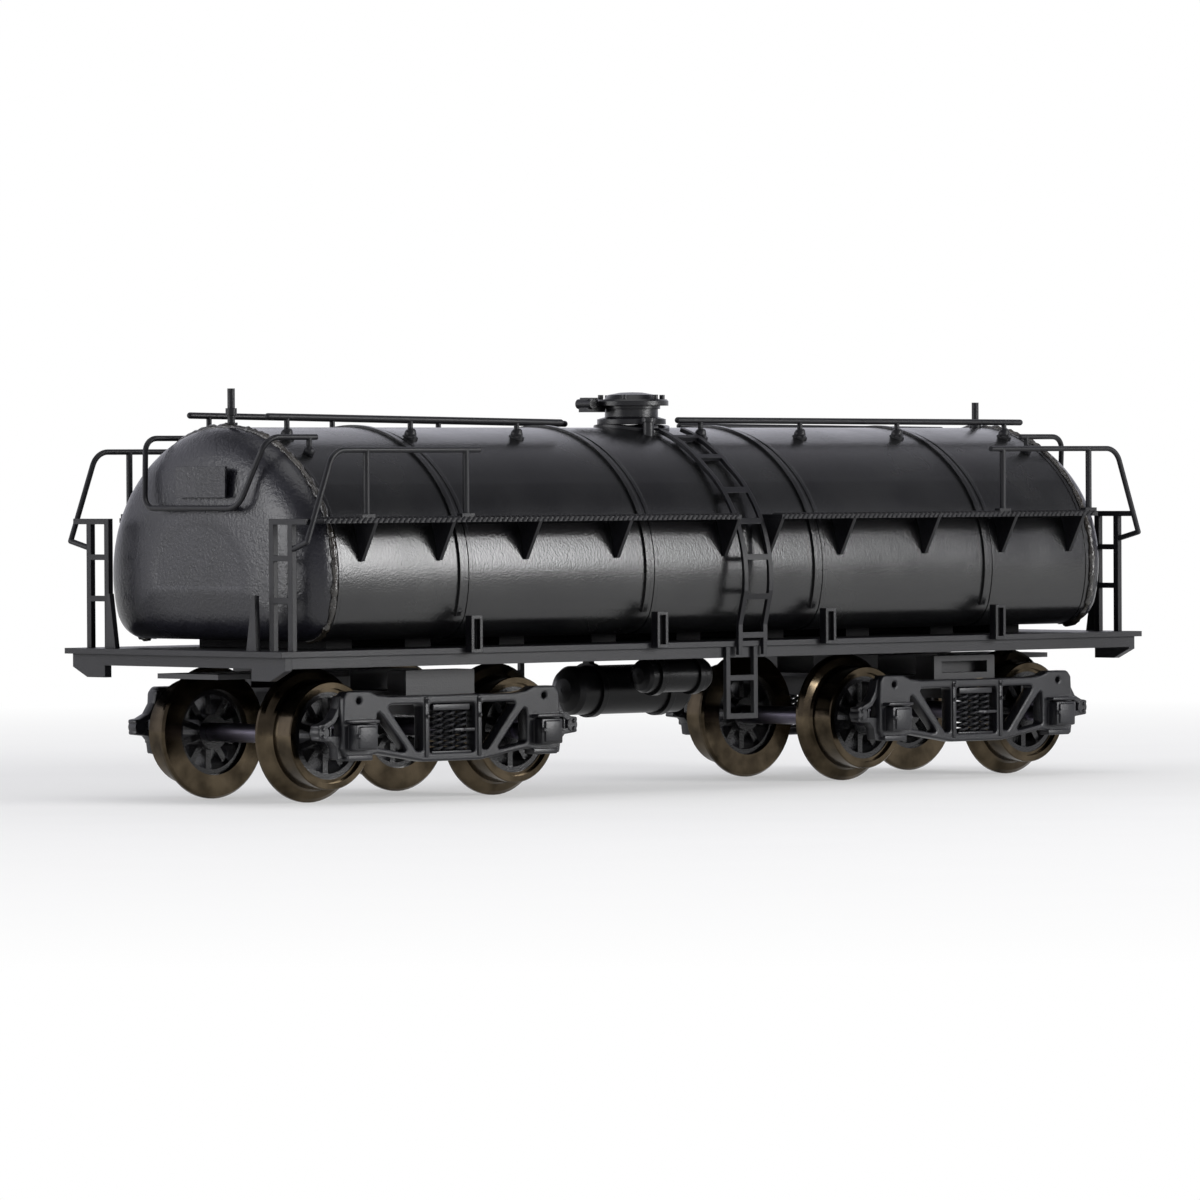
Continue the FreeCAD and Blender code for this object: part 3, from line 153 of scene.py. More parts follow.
def turned_tyre_metal():
    """Chemically blackened nickel on a turned tyre.

    Fine lathe rings streak the highlight, and the blackening leaves warm bronze patches.
    """
    material, tree, shader = fresh_material("blackened_nickel_turned")
    coat = WAGON.wheels
    place = add(tree, "ShaderNodeTexCoord").outputs["Object"]
    stretch = add(tree, "ShaderNodeMapping", {"Scale": (1.0, 14.0, 1.0)}, {"Vector": place})
    rings = add(tree, "ShaderNodeTexNoise", {"Scale": per_mm(1.2), "Detail": 4.0, "Roughness": 0.7},
                {"Vector": stretch.outputs["Vector"]})
    patch = add(tree, "ShaderNodeTexNoise", {"Scale": per_mm(1.6), "Detail": 3.0}, {"Vector": place})
    mix_ramp = add(tree, "ShaderNodeMapRange", {"From Min": 0.35, "From Max": 0.7},
                   {"Value": patch.outputs["Fac"]})
    tone = add(tree, "ShaderNodeMix",
               {"data_type": "RGBA", 6: opaque(coat.tyre_colour), 7: opaque(coat.tyre_patina)},
               {0: mix_ramp.outputs["Result"]})
    tree.links.new(tone.outputs[2], shader.inputs["Base Color"])
    polish = add(tree, "ShaderNodeMapRange",
                 {"From Min": 0.3, "From Max": 0.7, "To Min": 0.1, "To Max": 0.2},
                 {"Value": rings.outputs["Fac"]})
    tree.links.new(polish.outputs["Result"], shader.inputs["Roughness"])
    relief = add(tree, "ShaderNodeBump", {"Strength": 0.12, "Distance": 0.01 * MM},
                 {"Height": rings.outputs["Fac"]})
    tree.links.new(relief.outputs["Normal"], shader.inputs["Normal"])
    shader.inputs["Metallic"].default_value = 1.0
    return material


def ground_steel(name, colour, shade, rough):
    """Ground or drawn steel rod with a thin dark oxide.

    The oxide mottles it, and the drawing marks run along it.
    """
    material, tree, shader = fresh_material(name)
    place = add(tree, "ShaderNodeTexCoord").outputs["Object"]
    stretch = add(tree, "ShaderNodeMapping", {"Scale": (6.0, 0.6, 6.0)}, {"Vector": place})
    streak = add(tree, "ShaderNodeTexNoise", {"Scale": per_mm(0.6), "Detail": 3.0},
                 {"Vector": stretch.outputs["Vector"]})
    tone = add(tree, "ShaderNodeMix", {"data_type": "RGBA", 6: opaque(colour), 7: opaque(shade)},
               {0: streak.outputs["Fac"]})
    tree.links.new(tone.outputs[2], shader.inputs["Base Color"])
    polish = add(tree, "ShaderNodeMapRange", {"To Min": rough - 0.06, "To Max": rough + 0.08},
                 {"Value": streak.outputs["Fac"]})
    tree.links.new(polish.outputs["Result"], shader.inputs["Roughness"])
    shader.inputs["Metallic"].default_value = 1.0
    return material


def moulded_abs(name, colour, rough):
    """Injection moulded ABS.

    The tool's fine spark texture breaks up its shine, with slightly paler worn spots.
    """
    material, tree, shader = fresh_material(name)
    place = add(tree, "ShaderNodeTexCoord").outputs["Object"]
    spark = add(tree, "ShaderNodeTexNoise", {"Scale": per_mm(0.1), "Detail": 2.0}, {"Vector": place})
    wear = add(tree, "ShaderNodeTexNoise", {"Scale": per_mm(1.4), "Detail": 4.0}, {"Vector": place})
    pale = [min(1.0, c * 1.9 + 0.006) for c in colour]
    worn = add(tree, "ShaderNodeMapRange", {"From Min": 0.5, "From Max": 0.8, "To Max": 0.6},
               {"Value": wear.outputs["Fac"]})
    tone = add(tree, "ShaderNodeMix", {"data_type": "RGBA", 6: opaque(colour), 7: opaque(pale)},
               {0: worn.outputs["Result"]})
    tree.links.new(tone.outputs[2], shader.inputs["Base Color"])
    relief = add(tree, "ShaderNodeBump", {"Strength": 0.3, "Distance": 0.03 * MM},
                 {"Height": spark.outputs["Fac"]})
    tree.links.new(relief.outputs["Normal"], shader.inputs["Normal"])
    shader.inputs["Roughness"].default_value = rough
    shader.inputs["IOR"].default_value = 1.53
    return material


def seen_directly(tree):
    """One for camera, glossy and transmission rays, and zero for the rest."""
    path = add(tree, "ShaderNodeLightPath").outputs
    first = add(tree, "ShaderNodeMath", {"operation": "MAXIMUM"},
                {0: path["Is Camera Ray"], 1: path["Is Glossy Ray"]})
    return add(tree, "ShaderNodeMath", {"operation": "MAXIMUM"},
               {0: first.outputs[0], 1: path["Is Transmission Ray"]}).outputs[0]


def finish_nodes(material, *names):
    """Gives carried-over CAD nodes their material, by the start of their names."""
    done = 0
    for name, obj in NODES.items():
        if name.startswith(names):
            obj.data.materials.clear()
            obj.data.materials.append(material)
            done += 1
    if not done:
        raise RuntimeError("no CAD node begins with %s" % (names,))


# ---- mesh helpers ----

def piece(name, mesh, material, body, smooth_deg=35.0):
    """Turns a bmesh into a named piece that rides on a body."""
    mesh.normal_update()
    data = bpy.data.meshes.new(name)
    mesh.to_mesh(data)
    mesh.free()
    data.materials.append(material)
    data.shade_smooth()
    data.set_sharp_from_angle(angle=math.radians(smooth_deg))
    obj = bpy.data.objects.new(name, data)
    bpy.context.scene.collection.objects.link(obj)
    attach(obj, body)
    return obj


def lathe(mesh, profile, base, axis, steps=16):
    """Turns a profile of (radius, height) in millimetres about an axis from a base point."""
    turn = Vector(axis).normalized().to_track_quat("Z", "Y").to_matrix()
    base = Vector(base)
    rings = []
    for radius, height in profile:
        if radius <= 0:
            rings.append([mesh.verts.new((base + turn @ Vector((0, 0, height))) * MM)])
            continue
        ring = []
        for i in range(steps):
            a = 2 * math.pi * i / steps
            arm = Vector((radius * math.cos(a), radius * math.sin(a), height))
            ring.append(mesh.verts.new((base + turn @ arm) * MM))
        rings.append(ring)
    for low, high in zip(rings, rings[1:]):
        for i in range(steps):
            j = (i + 1) % steps
            if len(low) == 1 and len(high) > 1:
                mesh.faces.new((low[0], high[j], high[i]))
            elif len(high) == 1 and len(low) > 1:
                mesh.faces.new((low[i], low[j], high[0]))
            elif len(low) > 1:
                mesh.faces.new((low[i], low[j], high[j], high[i]))
    if len(rings[0]) > 1:
        mesh.faces.new(list(reversed(rings[0])))
    if len(rings[-1]) > 1:
        mesh.faces.new(rings[-1])


def bolt(mesh, base, axis, radius, height):
    """A small cast bolt head: a washer and a six-sided crown with a broken edge."""
    washer = [(radius * 1.25, -0.05), (radius * 1.25, height * 0.25), (radius * 1.05, height * 0.35)]
    crown = [(radius * 0.95, 0.0), (radius * 0.95, height * 0.8), (radius * 0.7, height), (0, height)]
    lathe(mesh, washer, base, axis, 12)
    lathe(mesh, crown, base, axis, 6)


def ridge(mesh, base, length, width, height, turn):
    """A raised tread bar with sloping sides, turned on the board."""
    spin = Matrix.Rotation(math.radians(turn), 3, "Z")
    rings = []
    for share, z in ((1.0, -0.02), (1.0, height * 0.4), (0.55, height)):
        ring = []
        for x, y in ((-1, -1), (1, -1), (1, 1), (-1, 1)):
            taper = 1 - (1 - share) * width / length
            corner = spin @ Vector((x * length / 2 * taper, y * width / 2 * share, z))
            ring.append(mesh.verts.new((Vector(base) + corner) * MM))
        rings.append(ring)
    for low, high in zip(rings, rings[1:]):
        for k in range(4):
            mesh.faces.new((low[k], low[(k + 1) % 4], high[(k + 1) % 4], high[k]))
    mesh.faces.new(rings[-1])
    mesh.faces.new(list(reversed(rings[0])))


def rivet(mesh, base, axis, radius, height):
    """A round snap head."""
    head = [(radius, -0.05), (radius, height * 0.3), (radius * 0.8, height * 0.7),
            (radius * 0.4, height * 0.95), (0, height)]
    lathe(mesh, head, base, axis, 10)


def block(mesh, low, high, bevel=0.05):
    """A box between two corners, in millimetres, with its edges rounded."""
    low, high = Vector(low), Vector(high)
    made = bmesh.ops.create_cube(mesh, size=1.0)
    size, mid = (high - low) * MM, (high + low) / 2 * MM
    shape = Matrix.Translation(mid) @ Matrix.Diagonal((*size, 1.0))
    bmesh.ops.transform(mesh, matrix=shape, verts=made["verts"])
    if bevel:
        edges = {e for v in made["verts"] for e in v.link_edges}
        bmesh.ops.bevel(mesh, geom=list(edges), offset=bevel * MM, segments=2, affect="EDGES", profile=0.6)


def filleted(points, radius, steps=3):
    """A closed outline with each corner rounded, as far as its edges allow."""
    out = []
    count = len(points)
    for i, here in enumerate(points):
        here = Vector(here)
        back, ahead = Vector(points[i - 1]) - here, Vector(points[(i + 1) % count]) - here
        half = back.angle(ahead, math.pi) / 2
        reach = min(radius / max(math.tan(half), 0.01), back.length * 0.45, ahead.length * 0.45)
        start, stop = here + back.normalized() * reach, here + ahead.normalized() * reach
        for k in range(steps + 1):
            t = k / steps
            out.append(tuple(start * (1 - t) ** 2 + here * 2 * t * (1 - t) + stop * t ** 2))
    return out


def casting(mesh, outline, holes, y0, y1, edge=0.12):
    """Adds a flat casting with rounded edges, drawn in X and Z, between two planes across the wagon."""
    curve = bpy.data.curves.new("outline", "CURVE")
    curve.dimensions, curve.fill_mode = "2D", "BOTH"
    curve.extrude, curve.offset = abs(y1 - y0) / 2 - edge, -edge
    curve.bevel_depth, curve.bevel_resolution = edge, 1
    for points in (outline, *holes):
        spline = curve.splines.new("POLY")
        spline.points.add(len(points) - 1)
        for spot, (x, z) in zip(spline.points, points):
            spot.co = (x, z, 0.0, 1.0)
        spline.use_cyclic_u = True
    holder = bpy.data.objects.new("outline", curve)
    data = bpy.data.meshes.new_from_object(holder)
    upright = Matrix.Translation((0, (y0 + y1) / 2 * MM, 0)) @ Matrix.Rotation(math.pi / 2, 4, "X")
    data.transform(upright @ Matrix.Scale(MM, 4))
    mesh.from_mesh(data)
    bpy.data.meshes.remove(data)
    bpy.data.objects.remove(holder)
    bpy.data.curves.remove(curve)


def tube(mesh, path, radius, sides=8, closed=False):
    """A round tube along points in millimetres; the radius may be one for each point."""
    path = [Vector(p) for p in path]
    radii = radius if isinstance(radius, (list, tuple)) else [radius] * len(path)
    count = len(path)
    rings = []
    for i, here in enumerate(path):
        if closed:
            ahead, back = path[(i + 1) % count], path[i - 1]
        else:
            ahead, back = path[min(i + 1, count - 1)], path[max(i - 1, 0)]
        turn = (ahead - back).to_track_quat("Z", "X").to_matrix()
        ring = []
        for k in range(sides):
            a = 2 * math.pi * k / sides
            arm = Vector((radii[i] * math.cos(a), radii[i] * math.sin(a), 0))
            ring.append(mesh.verts.new((here + turn @ arm) * MM))
        rings.append(ring)
    pairs = list(zip(rings, rings[1:] + rings[:1])) if closed else list(zip(rings, rings[1:]))
    for low, high in pairs:
        shift = min(range(sides), key=lambda s: (low[0].co - high[s].co).length)
        for k in range(sides):
            m = (k + 1) % sides
            mesh.faces.new((low[k], low[m], high[(m + shift) % sides], high[(k + shift) % sides]))
    if not closed:
        mesh.faces.new(list(reversed(rings[0])))
        mesh.faces.new(rings[-1])


def loaf(out=0.0, fine=14):
    """The tank's section, grown by out.

    It is a list of (y, z) points from one bottom corner over the crown to the other.
    """
    shoulder_mid = CROWN_MID + math.sqrt((CROWN_RAD - SHOULDER_RAD) ** 2 - SHOULDER_OFF ** 2)
    join = math.atan2(shoulder_mid - CROWN_MID, SHOULDER_OFF)
    drop = math.asin((shoulder_mid - FLOOR_RAD - TANK_BOTTOM) / (SHOULDER_RAD - FLOOR_RAD))
    corner_mid = SHOULDER_OFF + (SHOULDER_RAD - FLOOR_RAD) * math.cos(drop)
    half = []
    for i in range(fine):
        a = math.pi / 2 + (join - math.pi / 2) * i / fine
        half.append(((CROWN_RAD + out) * math.cos(a), CROWN_MID + (CROWN_RAD + out) * math.sin(a)))
    for i in range(fine + 1):
        a = join + (-drop - join) * i / fine
        half.append((SHOULDER_OFF + (SHOULDER_RAD + out) * math.cos(a),
                     shoulder_mid + (SHOULDER_RAD + out) * math.sin(a)))
    for i in range(1, 8):
        a = -drop + (drop - math.pi / 2) * i / 7
        half.append((corner_mid + (FLOOR_RAD + out) * math.cos(a),
                     TANK_BOTTOM + FLOOR_RAD + (FLOOR_RAD + out) * math.sin(a)))
    return [(-y, z) for y, z in reversed(half[1:])] + half


def wrap(mesh, x0, x1, out):
    """A flat strip laid round the tank between two stations, standing proud by out."""
    inner, outer = loaf(-0.03), loaf(out)
    rings = []
    for x, line in ((x0, inner), (x0, outer), (x1, outer), (x1, inner)):
        rings.append([mesh.verts.new((x * MM, y * MM, z * MM)) for y, z in line])
    for low, high in zip(rings, rings[1:] + rings[:1]):
        for i in range(len(low) - 1):
            mesh.faces.new((low[i], low[i + 1], high[i + 1], high[i]))
    for end in (0, -1):
        mesh.faces.new([ring[end] for ring in rings])
    bmesh.ops.recalc_face_normals(mesh, faces=mesh.faces)


# ---- sizes and colours ----

class TankSizes(bpy.types.PropertyGroup):
    paint: FloatVectorProperty(
        name="Tank paint", description="Satin black on the barrel", subtype="COLOR", size=3, min=0,
        max=1, default=linear("#0b0b0d"))
    haze: FloatVectorProperty(
        name="Paint haze", description="Dusty tone in the tank paint", subtype="COLOR", size=3,
        min=0, max=1, default=linear("#161715"))
    end_paint: FloatVectorProperty(
        name="End paint", description="Satin black on the end castings", subtype="COLOR", size=3,
        min=0, max=1, default=linear("#121217"))
    lap_proud: FloatProperty(
        name="Plate lap", description="How far a plate lap stands proud", default=0.04 * MM, min=0,
        unit="LENGTH")
    grain: FloatProperty(
        name="Paint grain", description="Size of the spray pebble", default=0.13 * MM, min=0,
        unit="LENGTH")


class TreadSizes(bpy.types.PropertyGroup):
    pitch: FloatProperty(
        name="Stud pitch", description="Distance between tread studs", default=0.36 * MM, min=0,
        unit="LENGTH")
    height: FloatProperty(
        name="Stud height", description="Height of a tread stud", default=0.09 * MM, min=0,
        unit="LENGTH")
    rows: IntProperty(
        name="Rows", description="Rows of studs across a board", default=3, min=1, max=8)
    paint: FloatVectorProperty(
        name="Rail paint", description="Satin black on rails, ladders and boards", subtype="COLOR",
        size=3, min=0, max=1, default=linear("#0c0c0f"))


class FrameSizes(bpy.types.PropertyGroup):
    paint: FloatVectorProperty(
        name="Frame paint", description="Satin black on deck and sills", subtype="COLOR", size=3,
        min=0, max=1, default=linear("#121215"))
    fitting_paint: FloatVectorProperty(
        name="Fitting paint", description="Satin black on the cast fittings", subtype="COLOR",
        size=3, min=0, max=1, default=linear("#0d0d10"))


class BogieSizes(bpy.types.PropertyGroup):
    paint: FloatVectorProperty(
        name="Bogie paint", description="Black on the bogie castings", subtype="COLOR", size=3,
        min=0, max=1, default=linear("#131316"))
    plastic: FloatVectorProperty(
        name="Bolster plastic", description="Dark grey moulding", subtype="COLOR", size=3, min=0,
        max=1, default=linear("#141416"))
    coil_pitch: FloatProperty(
        name="Coil pitch", description="Distance between spring turns", default=0.3 * MM, min=0,
        unit="LENGTH")


class WheelSizes(bpy.types.PropertyGroup):
    tyre_colour: FloatVectorProperty(
        name="Tyre", description="Blackened nickel", subtype="COLOR", size=3, min=0, max=1,
        default=linear("#584e3f"))
    tyre_patina: FloatVectorProperty(
        name="Patina", description="Bronze patches on the tyre", subtype="COLOR", size=3, min=0,
        max=1, default=linear("#2b251c"))
    centre_colour: FloatVectorProperty(
        name="Wheel centre", description="Black moulded spokes", subtype="COLOR", size=3, min=0,
        max=1, default=linear("#08080a"))


class TankWagon(bpy.types.PropertyGroup):
    tank: PointerProperty(type=TankSizes)
    treads: PointerProperty(type=TreadSizes)
    underframe: PointerProperty(type=FrameSizes)
    bogies: PointerProperty(type=BogieSizes)
    wheels: PointerProperty(type=WheelSizes)


WAGON = None


# ---- pieces ----

class TANKWAGON_OT_tank(bpy.types.Operator):
    """Paints the tank and adds its plate laps and end seams"""
    bl_idname = "tankwagon.tank"
    bl_label = "Tank"

    def execute(self, context):
        tank = WAGON.tank
        grain = tank.grain / MM
        skin = sprayed_enamel("satin_enamel_sprayed_tank", tank.paint, tank.haze, grain, 0.22, 0.26, 0.7)
        finish_nodes(skin, "tank_barrel", "tank_bands")
        # Painted shade: the saddles get a near-black, almost glossless paint, darker than the tank's, so
        # they read as lying in shade under the tank.
        pads = sprayed_enamel("flat_black_saddles_painted_shade", linear("#050506"), linear("#0b0b0c"),
                              0.12, 0.6, 0.3, 0.15)
        finish_nodes(pads, "tank_saddles")
        casting_paint = sprayed_enamel("satin_enamel_sprayed_casting", tank.end_paint, linear("#22222a"),
                                       grain * 1.4, 0.27, 0.5)
        finish_nodes(casting_paint, "tank_end", "number_plates")
        laps = bmesh.new()
        for spot in BAND_SPOTS:
            wrap(laps, spot + LAP_FROM, spot + LAP_TO, tank.lap_proud / MM)
        for side in SIDES:
            wrap(laps, *sorted((side * (SEAM - 0.12), side * (SEAM - 0.32))), tank.lap_proud / MM)
        piece("tank_plate_laps", laps, skin, ROOT)
        self.beads()
        return {"FINISHED"}

    def beads(self):
        """Lumpy beads of solder where the end castings meet the barrel."""
        paint = sprayed_enamel("satin_enamel_over_solder", linear("#15130f"), linear("#4a4338"),
                               0.22, 0.24, 0.9, 0.8)
        lumps = random.Random(11)
        beads = bmesh.new()
        for side in SIDES:
            line = [Vector((side * (SEAM + 0.14), y, z)) for y, z in loaf(0.0, 60)]
            path, radii = [line[0]], [0.13]
            for spot in line[1:]:
                gap = (spot - path[-1]).length
                if gap < 0.16:
                    continue
                beads_here = max(1, round(gap / 0.2))
                for k in range(1, beads_here + 1):
                    path.append(path[-1].lerp(spot, 1 / (beads_here - k + 1)))
                    path[-1].x += side * lumps.uniform(-0.02, 0.04)
                    radii.append(lumps.uniform(0.12, 0.25))
            tube(beads, path, radii, 7)
        piece("tank_end_beads", beads, paint, ROOT, 60.0)


class TANKWAGON_OT_walkways(bpy.types.Operator):
    """Paints boards, ladders and rails, and studs the walkways"""
    bl_idname = "tankwagon.walkways"
    bl_label = "Walkways"

    def execute(self, context):
        treads = WAGON.treads
        etched = sprayed_enamel("satin_enamel_sprayed_etching", treads.paint, linear("#232327"),
                                0.09, 0.4, 0.35, 0.3)
        finish_nodes(etched, "walkway", "corner_ladders", "handrails", "end_grab_rails", "roof_rails",
                     "roof_posts", "centre_ladders", "side_steps")
        for side, step in (("near", 1), ("far", -1)):
            self.board_details(side, step, etched)
        self.roof_feet(etched)
        return {"FINISHED"}

    def board_details(self, side, step, etched):
        """Tread ridges, a roped edge and the handrail post feet of one side's boards.

        The step points from the outer edge in towards the tank.
        """
        treads = WAGON.treads
        pitch, high = treads.pitch / MM, treads.height / MM
        low, top = (Vector(c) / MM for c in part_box("walkway_" + side))
        gap = LADDER_GAP if side == "near" else (-LADDER_GAP[1], -LADDER_GAP[0])
        outer = low.y if side == "near" else top.y
        studs = bmesh.new()
        for row in range(treads.rows):
            y = outer + step * (0.1 + pitch * row)
            x = low.x + 0.25 + (pitch / 2 if row % 2 else 0)
            while x < top.x - 0.2:
                if not gap[0] - 0.15 < x < gap[1] + 0.15:
                    ridge(studs, (x, y, top.z), 0.3, 0.13, high, 45 if row % 2 else -45)
                x += pitch
        strand = [(0.04, -0.19), (0.075, -0.13), (0.075, 0.13), (0.04, 0.19)]
        x = low.x + 0.2
        while x < top.x - 0.1:
            if not gap[0] - 0.1 < x < gap[1] + 0.1:
                lathe(studs, strand, (x, outer, (low.z + top.z) / 2 + 0.02), (0.75, 0, 0.66), 6)
            x += pitch
        for sx in SIDES:
            for foot in RAIL_POSTS:
                spot = Vector((sx * foot, outer + step * 0.2, top.z))
                block(studs, spot - Vector((0.38, 0.18, 0.02)), spot + Vector((0.38, 0.18, 0.12)), 0.04)
                for dx in (-0.27, 0.27):
                    rivet(studs, spot + Vector((dx, 0, 0.12)), (0, 0, 1), 0.08, 0.07)
        piece("walkway_studs_" + side, studs, etched, ROOT, 20.0)

    def roof_feet(self, etched):
        """A round foot with three rivets under each roof rail post."""
        cone = [(0.42, -0.12), (0.42, 0.06), (0.3, 0.14), (0.24, 0.42), (0.16, 0.5)]
        height = CROWN_MID + math.sqrt(CROWN_RAD ** 2 - ROOF_RAIL_OUT ** 2)
        feet = bmesh.new()
        for sy in SIDES:
            for spot in ROOF_FEET:
                for sx in SIDES:
                    if spot < ROOF_RAIL_SHORT and sx * sy > 0:
                        continue
                    base = Vector((sx * spot, sy * ROOF_RAIL_OUT, height))
                    lathe(feet, cone, base, (0, sy * 0.25, 1), 12)
                    for turn in (20, 140, 260):
                        a = math.radians(turn)
                        out = Vector((0.32 * math.cos(a), 0.32 * math.sin(a), 0.04))
                        rivet(feet, base + out, (0, sy * 0.3, 1), 0.12, 0.12)
        piece("roof_rail_feet", feet, etched, ROOT)


class TANKWAGON_OT_underframe(bpy.types.Operator):
    """Paints the deck, sills, manhole and reservoirs"""
    bl_idname = "tankwagon.underframe"
    bl_label = "Underframe and fittings"

    def execute(self, context):
        paint = WAGON.underframe
        frame_paint = sprayed_enamel("satin_enamel_sprayed_frame", paint.paint, linear("#29292c"),
                                     0.09, 0.42, 0.4, 0.35)
        finish_nodes(frame_paint, "deck", "side_sill", "headstock", "centre_sill", "cross_bearers")
        fitting = sprayed_enamel("satin_enamel_sprayed_fittings", paint.fitting_paint, linear("#1c1c20"),
                                 0.08, 0.3, 0.3, 0.4)
        # Painted shade: the reservoirs and their straps get a near-black paint, darker than the frame's,
        # for the shade they lie in under the deck.
        shaded_reservoir_paint = sprayed_enamel("satin_enamel_reservoirs_painted_shade", linear("#060607"), linear("#101012"),
                                0.09, 0.3, 0.3, 0.25)
        finish_nodes(shaded_reservoir_paint, "air_reservoir", "reservoir_straps")
        finish_nodes(fitting, "manhole", "lid_bolts", "relief_valve", "band_anchors")
        screw = ground_steel("turned_screw_steel", linear("#8d8f92"), linear("#6a6a6e"), 0.35)
        finish_nodes(screw, "pivot_screws")
        return {"FINISHED"}


class TANKWAGON_OT_bogies(bpy.types.Operator):
    """Paints the bogies and makes their detailed sides and springs"""
    bl_idname = "tankwagon.bogies"
    bl_label = "Bogies"

    def execute(self, context):
        bogies = WAGON.bogies
        cast = sprayed_enamel("satin_enamel_sprayed_bogie", bogies.paint, linear("#26272b"),
                              0.09, 0.34, 0.4, 0.4)
        plastic = moulded_abs("abs_moulded_bolster", bogies.plastic, 0.5)
        finish_nodes(plastic, "bogie_bolster", "coupler_tongue")
        for end, sx in (("left", -1), ("right", 1)):
            for side, sy in (("near", -1), ("far", 1)):
                name = "side_frame_%s_%s" % (end, side)
                frame_mesh = bmesh.new()
                self.side_frame(frame_mesh, sx * PIVOT_OFF, sy)
                made = piece(name + "_cast", frame_mesh, cast, "bogie_" + end, 40.0)
                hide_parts(name)
            springs = bmesh.new()
            for sy in SIDES:
                self.springs(springs, sx * PIVOT_OFF, sy, bogies.coil_pitch / MM)
            made = piece("bogie_springs_%s_coiled" % end, springs, cast, "bogie_" + end,
                         50.0)
            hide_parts("bogie_springs_" + end)
        return {"FINISHED"}

    def side_frame(self, mesh, mid, sy):
        """One cast truss side with its pedestals, axleboxes, column ribs and end lugs."""
        half = [(0, 5.6), (4.3, 5.6), (5.2, 5.7), (5.8, 5.93), (7.3, 5.93), (7.58, 5.6), (7.65, 4.4),
                (7.65, 2.9), (7.4, 2.5), (5.9, 2.5), (5.2, 2.62), (2.0, 2.12), (0, 2.12)]
        outline = [(mid + x, z) for x, z in half] + [(mid - x, z) for x, z in reversed(half[1:-1])]
        windows = [[(-1.58, 2.55), (1.58, 2.55), (1.58, 5.15), (-1.58, 5.15)]]
        for flip in SIDES:
            windows.append([(2.08 * flip, 5.15), (4.6 * flip, 5.15), (2.5 * flip, 2.68),
                            (2.08 * flip, 2.68)])
            windows.append([(5.25 * flip, 4.98), (5.25 * flip, 2.95), (3.0 * flip, 2.58)])
            windows.append([(6.5 * flip + 0.17 * math.cos(k), 5.42 + 0.17 * math.sin(k))
                            for k in range(6)])
        holes = [filleted([(mid + x, z) for x, z in window], 0.2) for window in windows]
        face, back = sorted((sy * 8.1, sy * 7.3))
        casting(mesh, filleted(outline, 0.3), holes, face, back)
        for flip in SIDES:
            self.column(mesh, mid + 1.85 * flip, sy)
            self.axlebox(mesh, mid + AXLE_OFF * flip, sy)
            self.end_lug(mesh, mid, flip, sy)

    def column(self, mesh, x, sy):
        """A rib down one column of the truss, with two small bolt heads."""
        low, high = sorted((sy * 8.0, sy * 8.18))
        block(mesh, (x - 0.13, low, 2.35), (x + 0.13, high, 5.5), 0.05)
        for z in (5.3, 4.5):
            bolt(mesh, (x, sy * 8.16, z), (0, sy, 0), 0.1, 0.12)

    def axlebox(self, mesh, x, sy):
        """A square axlebox with its lid, its lip, two side bolts and the tie below it."""
        body = (0.75, 7.9, 8.75, 2.85, 4.2, 0.12)
        lid = (0.6, 8.6, 8.88, 2.95, 4.08, 0.1)
        lip = (0.95, 7.9, 8.66, 4.26, 4.44, 0.07)
        tie = (0.85, 7.4, 8.2, 2.3, 2.6, 0.08)
        for half, y0, y1, z0, z1, edge in (body, lid, lip, tie):
            low, high = sorted((sy * y0, sy * y1))
            block(mesh, (x - half, low, z0), (x + half, high, z1), edge)
        for dx in (-0.62, 0.62):
            bolt(mesh, (x + dx, sy * 8.72, 3.6), (0, sy, 0), 0.11, 0.14)

    def end_lug(self, mesh, mid, flip, sy):
        """The ribbed lug at a pedestal's outer end, on a web that sweeps down from the frame's top."""
        y0, y1 = sorted((sy * 7.2, sy * 7.85))
        upper = [(7.3, 5.75), (7.6, 5.7), (7.78, 5.05), (8.15, 4.5), (8.7, 4.25), (9.1, 4.2), (9.1, 3.95),
                 (8.5, 3.98), (7.95, 4.25), (7.55, 4.8), (7.3, 5.2)]
        lower = [(7.3, 3.6), (9.05, 3.66), (9.1, 3.4), (8.2, 3.3), (7.9, 3.0), (7.8, 2.35), (7.3, 2.35)]
        for points in (upper, lower):
            casting(mesh, filleted([(mid + flip * x, z) for x, z in points], 0.1), [], y0, y1, 0.06)
        for k in range(4):
            x = sorted((mid + flip * (8.15 + 0.25 * k), mid + flip * (8.27 + 0.25 * k)))
            block(mesh, (x[0], y0 + 0.05, 3.45), (x[1], y1 - 0.02, 4.2), 0.03)
        boss = [(0.4, 0.0), (0.4, 0.62), (0.34, 0.7), (0, 0.7)]
        lathe(mesh, boss, (mid + flip * 8.72, sy * 7.18, 3.8), (0, sy, 0), 16)
        for dz in (-0.2, 0.2):
            bolt(mesh, (mid + flip * 8.8, sy * 7.86, 3.8 + dz), (0, sy, 0), 0.1, 0.12)

    def springs(self, mesh, mid, sy, pitch):
        """Two staggered rows of coils with the spring plank's end between them, under the bolster's end."""
        low, high, coil, wire = 2.6, 4.85, 0.33, 0.075
        for y, shift in ((7.78, 0.0), (7.36, 0.42)):
            for k in range(3):
                x = mid - 0.95 + 0.84 * k + shift
                turns = (high - low) / pitch
                steps = round(turns * 12)
                path = []
                for i in range(steps + 1):
                    a = 2 * math.pi * turns * i / steps
                    z = low + (high - low) * i / steps
                    path.append((x + coil * math.cos(a), sy * y + coil * math.sin(a), z))
                tube(mesh, path, wire, 6)
        cap = (-1.3, 1.3, 7.2, 8.0, 4.78, 5.12)
        plank = (0.1, 1.55, 7.6, 8.14, 3.66, 3.84)
        seat = (-1.4, 1.4, 7.2, 8.0, 2.5, 2.66)
        for x0, x1, y0, y1, z0, z1 in (cap, plank, seat):
            face, back = sorted((sy * y0, sy * y1))
            block(mesh, (mid + x0, face, z0), (mid + x1, back, z1), 0.07)


